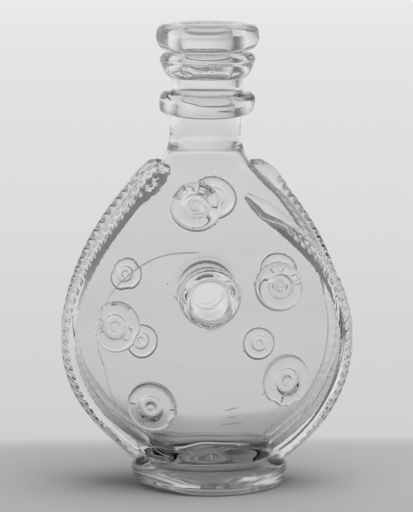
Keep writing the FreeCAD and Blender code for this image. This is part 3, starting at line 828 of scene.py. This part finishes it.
# Each seal's place as shares of the half width and the body height, its size as a share
# of the diameter on its face, how tall it is for its width, and its unevenness's seed.
FRONT_SEAL_SHARES = {
    "top": (-0.089, 0.843, 1.05, 0.96, 101), "right": (0.498, 0.604, 1.02, 0.98, 102),
    "lower_right": (0.545, 0.321, 0.99, 1.10, 103), "lower_left": (-0.407, 0.246, 1.02, 1.0, 104),
    "left": (-0.652, 0.485, 1.0, 1.03, 105),
}
BACK_SEAL_SHARES = {
    "top": (0.060, 0.838, 1.22, 1.0, 111), "right": (0.541, 0.610, 1.02, 1.0, 112),
    "lower_right": (0.402, 0.370, 0.89, 1.0, 113), "lower_left": (-0.459, 0.383, 0.91, 1.0, 114),
    "left": (-0.566, 0.601, 0.94, 1.0, 115),
}
FRONT_SEAL_RADIUS = 11.9
BACK_SEAL_RADIUS = 9.3
SEAL_THICKNESS = 3.3
SEAL_SHY = 0.15
CRACK_DEPTH_SHARE = 0.48
# A seal's section from its middle out: shares of its radius and of its thickness.
SEAL_SECTION = (
    (0.0, 0.70), (0.06, 0.72), (0.12, 0.76), (0.17, 0.72), (0.205, 0.54), (0.25, 0.43),
    (0.33, 0.40), (0.40, 0.44), (0.455, 0.58), (0.50, 0.80), (0.56, 0.91), (0.66, 0.93),
    (0.76, 0.93), (0.85, 0.88), (0.915, 0.76), (0.96, 0.56), (0.988, 0.29), (1.0, 0.0),
)
BACK_SEAL_SECTION = (
    (0.0, 0.62), (0.06, 0.63), (0.12, 0.64), (0.17, 0.60), (0.205, 0.52), (0.25, 0.47),
    (0.33, 0.46), (0.40, 0.50), (0.455, 0.60), (0.50, 0.70), (0.56, 0.76), (0.66, 0.78),
    (0.77, 0.76), (0.87, 0.66), (0.935, 0.50), (0.97, 0.34), (0.99, 0.17), (1.0, 0.0),
)
# Where an edge is chipped: the direction in degrees from the left over the top, how wide
# the nick is in degrees, and how deep it bites as a share of the radius.
SEAL_CHIPS = {
    "front_seal_lower_right": ((248, 9, 0.10), (272, 6, 0.05), (300, 12, 0.07)),
    "front_seal_lower_left": ((212, 9, 0.06),),
    "front_seal_left": ((205, 10, 0.05),),
    "back_seal_left": ((40, 16, 0.08), (160, 14, 0.07), (275, 18, 0.09)),
}
# The cracks in a seal: direction in degrees, distance out as a share of the radius, half
# length and half depth in millimetres, and how far the crack leans over in degrees.
SEAL_CRACKS = {
    "front_seal_top": ((311, 0.72, 2.3, 1.0, 10), (275, 0.76, 2.0, 1.0, -10)),
    "front_seal_right": ((163, 0.68, 2.6, 1.0, 16), (175, 0.72, 1.6, 0.9, -14)),
    "front_seal_left": ((215, 0.74, 2.0, 1.0, 12),),
    "front_seal_lower_right": ((285, 0.66, 2.6, 1.0, 14), (232, 0.74, 2.2, 1.0, -12)),
    "front_seal_lower_left": (
        (262, 0.78, 2.0, 1.0, 16), (12, 0.7, 1.6, 0.9, 14), (185, 0.82, 1.5, 0.9, -12)),
}
# The broad fractures in a rim: where they start and end in degrees, how far out they start
# and end as shares of the radius, and whether they fall toward the edge.
SEAL_FRACTURES = {
    "front_seal_top": ((22, 62, 0.60, 0.94, True), (98, 141, 0.45, 0.94, True)),
    "front_seal_left": ((78, 128, 0.82, 0.95, True), (335, 384, 0.47, 0.74, True)),
}


def crack_sheets(surface, radius, start, end, inner, outer, falls):
    """A fracture through a seal's rim: thin gaps side by side, as wide as a sector of the
    rim from a start to an end in degrees, which fall or climb from the inside out."""
    steps = math.ceil((outer - inner) * radius / CRACK_BREADTH)
    turns = np.radians(np.linspace(start, end, CRACK_TURN_POINTS))
    edges = np.linspace(inner, outer, steps + 1)
    heights, shares = np.array(SEAL_SECTION).T[::-1]
    climb = np.linspace(0, 1, CRACK_OUT_POINTS)[::-1 if falls else 1]
    sheets = []
    for near, far in zip(edges[:-1], edges[1:]):
        out = np.linspace(near, min(far + CRACK_OVERLAP / radius, outer), CRACK_OUT_POINTS)
        reach = out[None, :] * (1 + 0.02 * np.sin(7 * turns + 9 * near))[:, None]
        skin, normal = surface(turns[:, None], reach * radius)
        top = SEAL_THICKNESS * 0.9 * np.interp(min(far + 0.03, 1), shares, heights) - CRACK_COVER
        rise = CRACK_COVER + (top - CRACK_COVER) * climb
        rise = rise[None, :] + 0.05 * np.sin(11 * turns + 5 * near)[:, None]
        upper = skin + normal * (rise + CRACK_HALF_GAP)[..., None]
        lower = skin + normal * (rise - CRACK_HALF_GAP)[..., None]
        points, faces = loops_to_faces(np.concatenate([upper, lower[:, ::-1]], axis=1), False)
        sheets.append((points, outward(points, faces)[:, ::-1]))
    return sheets


def sides_of(out):
    """The directions sideways and upward along the skin, seen against its way out."""
    sideways = np.cross(out, (0, 0, 1))
    sideways /= np.linalg.norm(sideways)
    return sideways, np.cross(sideways, out)


def edge_wobble(node, around, seed):
    """How far out a seal's edge runs all round, with the nicks where it is chipped."""
    dice = np.random.default_rng(seed)
    wobble = 1 + 0.010 * np.sin(2 * around + dice.uniform(0, 6))
    wobble = wobble + 0.006 * np.sin(3 * around + dice.uniform(0, 6))
    for turn, breadth, bite in SEAL_CHIPS.get(node, ()):
        away = (np.degrees(around) - turn + 180) % 360 - 180
        wobble = wobble - bite * np.exp(-(away / breadth) ** 4)
    return wobble


def seal_cracks(node, middle, sideways, upward, surface, radius):
    """The narrow cracks and the broad fractures in a seal."""
    cracks = []
    for turn, reach, length, depth, lean in SEAL_CRACKS.get(node, ()):
        turn, lean = math.radians(turn), math.radians(lean)
        outlook = math.cos(turn) * sideways + math.sin(turn) * upward
        skin, normal = skin_and_normal((middle + reach * radius * outlook)[None])
        flat = math.cos(lean) * normal[0] + math.sin(lean) * np.cross(normal[0], outlook)
        cracks.append(void_blob(
            skin[0] + CRACK_DEPTH_SHARE * SEAL_THICKNESS * normal[0], outlook, flat,
            np.cross(outlook, flat), (length, depth, CRACK_HALF_GAP)))
    for sector in SEAL_FRACTURES.get(node, ()):
        cracks += crack_sheets(surface, radius, *sector)
    return cracks


def make_seal(node, face_side, shares, face_radius):
    """A round seal pressed onto the vessel: a plain rim round a dished middle with a boss,
    nicked at the edge where it is chipped and cracked where it is strained."""
    across_share, height_share, size_share, tall, seed = shares
    radius = face_radius * size_share
    across = across_share * BODY_WIDTH / 2
    start = on_form(face_side, across, BODY_LIFT + height_share * BODY_HEIGHT)
    middle, out = [found[0] for found in skin_and_normal(start)]
    sideways, upward = sides_of(out)
    around = np.linspace(0, 2 * math.pi, SEAL_TURN_POINTS, endpoint=False)
    wobble = edge_wobble(node, around, seed)

    def surface(turns, reach):
        """Points on the vessel's skin round the seal's middle, and the directions out."""
        way = np.cos(turns)[..., None] * sideways + tall * np.sin(turns)[..., None] * upward
        spots = middle + reach[..., None] * way
        skin, normal = skin_and_normal(spots.reshape(-1, 3))
        return skin.reshape(spots.shape), normal.reshape(spots.shape)

    section = smooth_line(SEAL_SECTION if face_side < 0 else BACK_SEAL_SECTION, SEAL_RING_POINTS)
    reaches, rises = section[1:, :1], section[1:, 1:]
    edge = radius - SEAL_SHY
    spread = reaches * (1 + (wobble - 1) * smooth_step(0.5, 0.95, reaches)) * edge
    skin, normal = surface(around[None, :], spread)
    swell = ripple(skin.reshape(-1, 3), seed, 15).reshape(spread.shape)
    rise = rises * SEAL_THICKNESS * (0.97 + 0.025 * swell)
    over = skin + normal * (rise - SEAT_DEPTH)[..., None]
    under_spread = np.linspace(1, 0, SEAL_UNDER_POINTS + 2)[1:-1, None] * wobble * edge
    skin, normal = surface(around[None, :], under_spread)
    under = skin - normal * SEAT_DEPTH
    seat_points.append(under[under_spread[:, 0] < radius - SEAT_MARGIN].reshape(-1, 3))
    seat_points.append(middle[None])
    loops = np.concatenate([over, under])
    points, faces = loops_to_faces(loops, False)
    on_top = (faces < len(over) * len(around)) | (faces == len(loops) * len(around))
    cracks = seal_cracks(node, middle, sideways, upward, surface, radius)
    points, faces, seats = with_voids(
        points, outward(points, faces), ~on_top.all(axis=1), cracks)
    add_piece(node + "_glass", points, faces, seats, node, SEAL)


def make_seals():
    """Five seals on the front and five on the back."""
    for face, face_side, radius, places in (("front", -1, FRONT_SEAL_RADIUS, FRONT_SEAL_SHARES),
                                            ("back", 1, BACK_SEAL_RADIUS, BACK_SEAL_SHARES)):
        for place, shares in places.items():
            make_seal("%s_seal_%s" % (face, place), face_side, shares, radius)


# Each trail's middle line down the side: shares of the body height and the half depth.
TRAIL_SHARES = {
    "front_left_trail": (
        (0.952, 0.375), (0.936, 0.325), (0.895, 0.312), (0.814, 0.338), (0.731, 0.326),
        (0.667, 0.302), (0.553, 0.246), (0.432, 0.200), (0.343, 0.200), (0.196, 0.231),
        (0.107, 0.246), (0.066, 0.246)),
    "front_right_trail": (
        (0.876, 0.560), (0.833, 0.548), (0.782, 0.511), (0.731, 0.462), (0.680, 0.394),
        (0.617, 0.317), (0.566, 0.271), (0.483, 0.210), (0.413, 0.195), (0.298, 0.195),
        (0.196, 0.205), (0.107, 0.231), (0.066, 0.246)),
    "back_left_trail": (
        (0.965, -0.123), (0.870, -0.215), (0.744, -0.246), (0.617, -0.231), (0.438, -0.205),
        (0.298, -0.205), (0.196, -0.231), (0.107, -0.246), (0.066, -0.246)),
    "back_right_trail": (
        (0.965, -0.123), (0.922, -0.154), (0.870, -0.215), (0.744, -0.277), (0.617, -0.308),
        (0.438, -0.323), (0.298, -0.292), (0.196, -0.260), (0.107, -0.246), (0.066, -0.246)),
}
TRAIL_WIDTH = 8.8
TRAIL_THICKNESS = 4.3
TRAIL_REACH = 69.15
TRAIL_SEED = 60
TRAIL_HEAD_LENGTH = 24.0
TRAIL_TAIL_LENGTH = 5.0
TRAIL_LUMPS = 0.2
# The milling: the pitch of the cells and how they slant, where it sets in after the plain
# head and fades before the tail, and how strong it is on the back.
TRAIL_PITCH = 4.6
TRAIL_SLANT = 0.45
MILLING_RISE = 8.0
MILLING_FADE = (42.0, 20.0)
MILLING_FADE_SHARE = 0.8
BACK_MILLING = 0.65
# How thick a trail is in the middle of a cell, as a share, and how deep the lobes are and
# how high the ridge is. Places across a trail go from its outer edge, -1, to its inner
# edge, 1: between each pair the cells and the lobes set in, from either side.
TRAIL_CELL = 0.6
TRAIL_LOBE = 0.55
TRAIL_RIDGE = 0.34
CELL_EDGES = ((0.02, 0.2), (0.78, 0.6))
LOBE_EDGES = ((-0.22, -0.42), (-1.0, -0.7))
# Each trail's head: how much it widens, its thickness, and the lengths over which its tip
# draws out and over which it stays plain.
TRAIL_HEADS = {
    "front_left_trail": (0.70, 5.6, 5.0, 3.0), "front_right_trail": (0.04, 3.4, 12.0, 24.0),
    "back_left_trail": (0.30, 5.2, 5.0, 10.0), "back_right_trail": (0.60, 5.8, 5.0, 12.0),
}


def trail_line(shares, side):
    """Points an even step apart down a trail's middle line, on the vessel's skin."""
    rows = []
    for height_share, depth_share in shares:
        height = BODY_LIFT + height_share * BODY_HEIGHT
        width, depth = OUTER.half_sizes(height)
        at = -depth_share * BODY_DEPTH / 2
        rows.append((side * width * math.sqrt(1 - (at / depth) ** 2), at, height))
    line = settle(vessel_outside, smooth_line(rows, 1200))
    run = np.concatenate([[0], np.cumsum(np.linalg.norm(np.diff(line, axis=0), axis=1))])
    stations = np.linspace(0, run[-1], int(run[-1] / TRAIL_STEP))
    return np.column_stack([np.interp(stations, run, line[:, axis]) for axis in range(3)]), stations


def trail_rise(inner, run, thick, milled, lumps, seed):
    """How high a trail stands across its width: fuller outside than inside, with a row of
    nipped cells inside, shallow lobes outside, and a low ridge and a groove between them."""
    slant = run - TRAIL_SLANT * TRAIL_PITCH * inner + 0.4 * np.sin(run / 13 + seed)
    turn = 2 * math.pi * slant / TRAIL_PITCH + seed
    dish = (0.5 - 0.5 * np.cos(turn)) ** 0.6
    wander = 0.05 * np.sin(turn) + 0.05 * np.sin(run / 9 + seed)
    cells = smooth_step(*CELL_EDGES[0], inner - wander) * smooth_step(*CELL_EDGES[1], inner)
    lobes = smooth_step(*LOBE_EDGES[0], inner) * smooth_step(*LOBE_EDGES[1], inner)
    rise = lumps + thick * np.where(
        inner > 0, (1 - inner ** 2) ** 0.85, (1 - np.abs(inner) ** 3.4) ** 0.5)
    rise = rise + milled * cells * dish * (TRAIL_CELL * thick - rise)
    rise = rise - milled * TRAIL_LOBE * lobes * (1 - dish)
    ridge = np.exp(-((inner + 0.1 - wander) / 0.11) ** 2)
    groove_beside = np.exp(-((inner + 0.34 - 2 * wander) / 0.07) ** 2)
    return rise + milled * TRAIL_RIDGE * (ridge - groove_beside)


def make_trail(node, shares, seed):
    """A milled trail: a strand laid down the side, fuller or drawn out at the head where it
    was laid on first, and pinched between smooth edges."""
    side = -1 if "left" in node else 1
    inward = -side if "front" in node else side
    widening, head_thickness, tip_length, plain_length = TRAIL_HEADS[node]
    line, run = trail_line(shares, side)
    line, out = skin_and_normal(line)
    across = np.cross(out, np.gradient(line, axis=0))
    across /= np.linalg.norm(across, axis=1, keepdims=True)
    left = run[-1] - run
    head = np.sin(math.pi * np.clip(run / TRAIL_HEAD_LENGTH, 0, 1)) ** 1.3
    ends = np.sqrt(np.clip(run / tip_length, 0.002, 1)) * np.sqrt(
        np.clip(left / TRAIL_TAIL_LENGTH, 0.002, 1))
    half = TRAIL_WIDTH / 2 * ends * (1 + widening * head)
    thick = TRAIL_THICKNESS + (head_thickness - TRAIL_THICKNESS) * head
    thick = (thick * np.minimum(1, ends * 1.15))[:, None]
    fade = 1 - MILLING_FADE_SHARE * smooth_step(*MILLING_FADE, left)
    milled = smooth_step(plain_length, plain_length + MILLING_RISE, run) * fade * ends
    milled = milled[:, None] * (1 if "front" in node else BACK_MILLING)
    blunt = tip_length < 10
    over_share = np.cos(np.linspace(0, math.pi, TRAIL_OVER_POINTS + 2)[1:-1])
    under_share = np.linspace(-1, 1, TRAIL_UNDER_POINTS)
    loops = []
    for shares_across, is_over in ((over_share, True), (under_share, False)):
        spread = half[:, None] * shares_across
        points = line[:, None] + across[:, None] * spread[..., None]
        skin, normal = skin_and_normal(points.reshape(-1, 3))
        rise = np.full(spread.shape, -SEAT_DEPTH)
        if is_over:
            lumps = (TRAIL_LUMPS * blunt * head)[:, None] * ripple(
                skin, seed + 5, 10).reshape(spread.shape)
            rise = trail_rise(inward * shares_across, run[:, None], thick, milled, lumps, seed)
            rise = np.maximum(rise * (1 + 0.02 * ripple(skin, seed, 22).reshape(rise.shape)), 0.02)
        loops.append((skin + normal * rise.reshape(-1, 1)).reshape(points.shape))
    loops = np.concatenate(loops, axis=1)
    loops[..., 0] = np.clip(loops[..., 0], -TRAIL_REACH, TRAIL_REACH)
    points, faces = loops_to_faces(loops, False)
    seats = (faces % loops.shape[1] >= TRAIL_OVER_POINTS).sum(axis=1) >= 3
    seats[-2 * loops.shape[1]:] = False
    inner = np.abs(under_share) < 1 - 2 * SEAT_MARGIN / TRAIL_WIDTH
    seat_points.append(loops[4:-4, TRAIL_OVER_POINTS:][:, inner].reshape(-1, 3))
    add_piece(node + "_glass", points, outward(points, faces), seats, node, TRAIL)


def make_trails():
    """Four trails, two down each side."""
    for number, (node, shares) in enumerate(TRAIL_SHARES.items()):
        make_trail(node, shares, TRAIL_SEED + number)


# The hairline's way through the front wall: how far across and how high.
HAIRLINE = (
    (-4.0, 114.7), (-12.5, 114.4), (-21.5, 113.0), (-31.0, 108.6), (-40.9, 100.7), (-48.0, 91.0),
    (-51.6, 79.1), (-52.3, 69.1), (-49.4, 58.9), (-47.1, 48.9), (-42.8, 38.9), (-38.5, 31.6),
    (-30.0, 22.5), (-23.9, 17.1), (-18.5, 15.0),
)
# The blister, the seeds and the streaks in the front wall: how far across and how high,
# their slant in degrees, and their half length, half breadth and half thickness.
FRONT_SEEDS = (
    (3.5, 81.4, 27, (5.4, 1.3, 0.3)), (12.1, 86.0, 0, (0.45, 0.45, 0.4)),
    (-19.6, 100.2, 0, (0.45, 0.4, 0.4)), (-15.8, 93.6, -55, (1.6, 0.35, 0.3)),
    (10.4, 40.7, 12, (3.1, 0.35, 0.3)), (11.1, 36.8, 8, (1.9, 0.3, 0.3)),
    (10.2, 33.6, 5, (5.4, 0.35, 0.3)), (16.3, 68.2, 40, (0.4, 0.3, 0.3)),
    (-27.2, 67.9, 70, (0.5, 0.25, 0.25)), (25.8, 47.5, 20, (0.5, 0.3, 0.3)),
    (-13.0, 60.7, 80, (0.6, 0.25, 0.25)),
)


def in_front_wall(across, height, depth):
    """A point in the glass of the front wall, at a depth below its skin, and the way out."""
    skin, out = skin_and_normal(on_form(-1, across, height))
    return skin[0] - depth * out[0], out[0]


def front_flaws():
    """The voids in the front wall: a long hairline, a blister and scattered seeds."""
    hair = smooth_line([in_front_wall(across, height, HAIRLINE_DEPTH)[0]
                        for across, height in HAIRLINE], 200)
    flaws = [void_thread(hair, HAIRLINE_RADIUS)]
    for across, height, turn, halves in FRONT_SEEDS:
        middle, out = in_front_wall(across, height, SEED_DEPTH)
        sideways, upward = sides_of(out)
        turn = math.radians(turn)
        along = -math.cos(turn) * sideways + math.sin(turn) * upward
        flaws.append(void_blob(middle, along, np.cross(out, along), out, halves))
    return flaws


def vessel_seats(middles):
    """Which faces of the vessel, given by their middles, lie under an applied piece."""
    marks = np.concatenate(seat_points)
    tree = KDTree(len(marks))
    for number, mark in enumerate(marks):
        tree.insert(mark, number)
    tree.balance()
    seats = np.zeros(len(middles), bool)
    for number in np.flatnonzero(np.abs(vessel_outside(middles)) < SEAT_SKIN_NEAR):
        seats[number] = tree.find(middles[number])[2] < SEAT_MARK_NEAR
    return seats


def make_bottle_body():
    """The blown vessel with its hollow, its hole, its neck and the flaws in its glass."""
    reach = np.array([BODY_WIDTH / 2, BODY_DEPTH / 2]) + BODY_GRID_MARGIN
    points, faces = skin_over(
        vessel_glass, vessel_hollow, TOP - MOUTH_SEAM_DROP, (*-reach, BODY_LIFT - BODY_GRID_BELOW),
        (*reach, TOP + BODY_GRID_MARGIN), BODY_STEP)
    faces = outward(points, faces)
    seats = vessel_seats(points[faces].mean(axis=1))
    normals = slope(vessel_glass, points)
    normals /= np.linalg.norm(normals, axis=1, keepdims=True)
    skin_count = len(points)
    points, faces, seats = with_voids(points, faces, seats, front_flaws())
    vessel = add_piece("blown_vessel", points, faces, seats, "bottle_body", BLOWN)
    true_normals = np.zeros((len(points), 3))
    true_normals[:skin_count] = normals
    vessel.data.normals_split_custom_set_from_vertices(true_normals.tolist())


def facing(place, aim):
    """The turn that points a lamp or a camera from its place at what it is aimed at."""
    return (Vector(aim) - Vector(place)).to_track_quat("-Z", "Y").to_euler()


LAMP_PLACE = (0.5, -0.2, 3.0)
LAMP_AIM = (0.0, 0.0, 0.1)
LAMP_SIZE = 3.0
LAMP_POWER = 55.0


def make_lamp():
    """A large square of soft white light overhead. The glass doesn't show its shape."""
    lamp = bpy.data.lights.new("overhead", "AREA")
    lamp.shape = "RECTANGLE"
    lamp.size = lamp.size_y = LAMP_SIZE
    lamp.energy = LAMP_POWER
    light = bpy.data.objects.new("overhead", lamp)
    light.location = LAMP_PLACE
    light.rotation_euler = facing(LAMP_PLACE, LAMP_AIM)
    light.visible_transmission = False
    light.visible_glossy = False
    bpy.context.scene.collection.objects.link(light)


FLOOR_REACH = 8
# The depths in metres that the floor's tones and its glow run between, from front to back,
# and the room's tones, which run from in front of the bottle, above it and to its right to
# the wall behind it. The floor's tones hold painted shade: the table is painted darker
# toward the front. The glow is painted light: the backdrop glows more with distance.
FLOOR_DEPTHS = (-0.2, 3.8)
FLOOR_TONES_WITH_PAINTED_SHADE = ((0.0, 0.66), (0.04, 0.74), (0.073, 0.76), (0.077, 0.30), (0.3, 0.25), (1.0, 0.20))
BACKDROP_PAINTED_LIGHT = ((0.0, 0.0), (0.073, 0.0), (0.077, 0.44), (0.3, 0.57), (1.0, 0.77))
ROOM_TONES = ((0.0, 0.15), (0.2, 0.19), (0.5, 0.19), (0.66, 0.26), (0.8, 0.5), (1.0, 0.86))
ROOM_RIGHT_SHARE = 0.3


def make_floor():
    """A pale table in front of a paper backdrop. The table is painted darker toward the front as
    painted shade, and the backdrop glows more with distance as painted light.
    """
    mesh = bpy.data.meshes.new("floor")
    corners = [(-FLOOR_REACH, -FLOOR_REACH, 0), (FLOOR_REACH, -FLOOR_REACH, 0),
               (FLOOR_REACH, FLOOR_REACH, 0), (-FLOOR_REACH, FLOOR_REACH, 0)]
    mesh.from_pydata(corners, [], [(0, 1, 2, 3)])
    floor = bpy.data.objects.new("floor", mesh)
    bpy.context.scene.collection.objects.link(floor)
    paper = bpy.data.materials.new("pale_paper_painted_light")
    paper.use_nodes = True
    recipe = Recipe(paper.node_tree)
    place = recipe.add("ShaderNodeNewGeometry", {}, "Position")
    depth = recipe.add("ShaderNodeSeparateXYZ", {0: place}, "Y")
    grain = recipe.add("ShaderNodeTexNoise", {
        "Vector": place, "Scale": 900.0, "Detail": 3.0}, "Fac")
    depth = depth + 0.004 * grain
    tooth = recipe.add("ShaderNodeBump", {
        "Strength": 0.3, "Distance": 0.1 * MM, "Height": grain})
    recipe.join(paper.node_tree.nodes["Principled BSDF"], {
        # Painted shade: the table's colour is darker toward the front.
        "Base Color": recipe.ramp(depth, *FLOOR_DEPTHS, FLOOR_TONES_WITH_PAINTED_SHADE),
        "Roughness": 0.8 + 0.15 * grain, "Specular IOR Level": 0.1, "Normal": tooth,
        # Painted light: the backdrop glows, brighter with distance.
        "Emission Color": recipe.ramp(depth, *FLOOR_DEPTHS, BACKDROP_PAINTED_LIGHT),
        "Emission Strength": 1.0})
    mesh.materials.append(paper)


def make_world():
    """A room with a pale wall behind the bottle, dim above, in front and most to the right."""
    world = bpy.data.worlds.new("studio")
    bpy.context.scene.world = world
    world.use_nodes = True
    recipe = Recipe(world.node_tree)
    way = recipe.add("ShaderNodeTexCoord", {}, "Generated")
    rightward, backward, upward = [
        recipe.add("ShaderNodeSeparateXYZ", {0: way}, axis) for axis in "XYZ"]
    along = backward - upward - ROOM_RIGHT_SHARE * rightward
    tone = recipe.ramp(along, -1.0, 1.0, ROOM_TONES)
    recipe.join(world.node_tree.nodes["Background"], {"Color": tone, "Strength": 1.0})


def let_light_through(paths):
    """Lets light pass through as many skins of glass as stand behind each other here, and
    turn inside the glass as often as it does in the milled trails."""
    paths.max_bounces = 40
    paths.transmission_bounces = 40
    paths.glossy_bounces = 20
    paths.transparent_max_bounces = 40


CAMERA_PLACE = (-0.067, -1.6, 0.335)
CAMERA_AIM = (0.0, 0.0, 0.1092)
CAMERA_LENS = 296.5


def make_camera():
    """The camera where the photo was taken from, a little above the bottle."""
    lens = bpy.data.cameras.new("camera")
    lens.sensor_width = 36
    lens.sensor_fit = "HORIZONTAL"
    lens.lens = CAMERA_LENS
    camera = bpy.data.objects.new("camera", lens)
    camera.location = CAMERA_PLACE
    camera.rotation_euler = facing(CAMERA_PLACE, CAMERA_AIM)
    bpy.context.scene.collection.objects.link(camera)
    bpy.context.scene.camera = camera


make_rings()
make_foot()
make_seals()
make_trails()
make_bottle_body()
make_floor()
make_world()
make_lamp()
make_camera()
bpy.context.scene.view_settings.view_transform = "Standard"
let_light_through(bpy.context.scene.cycles)
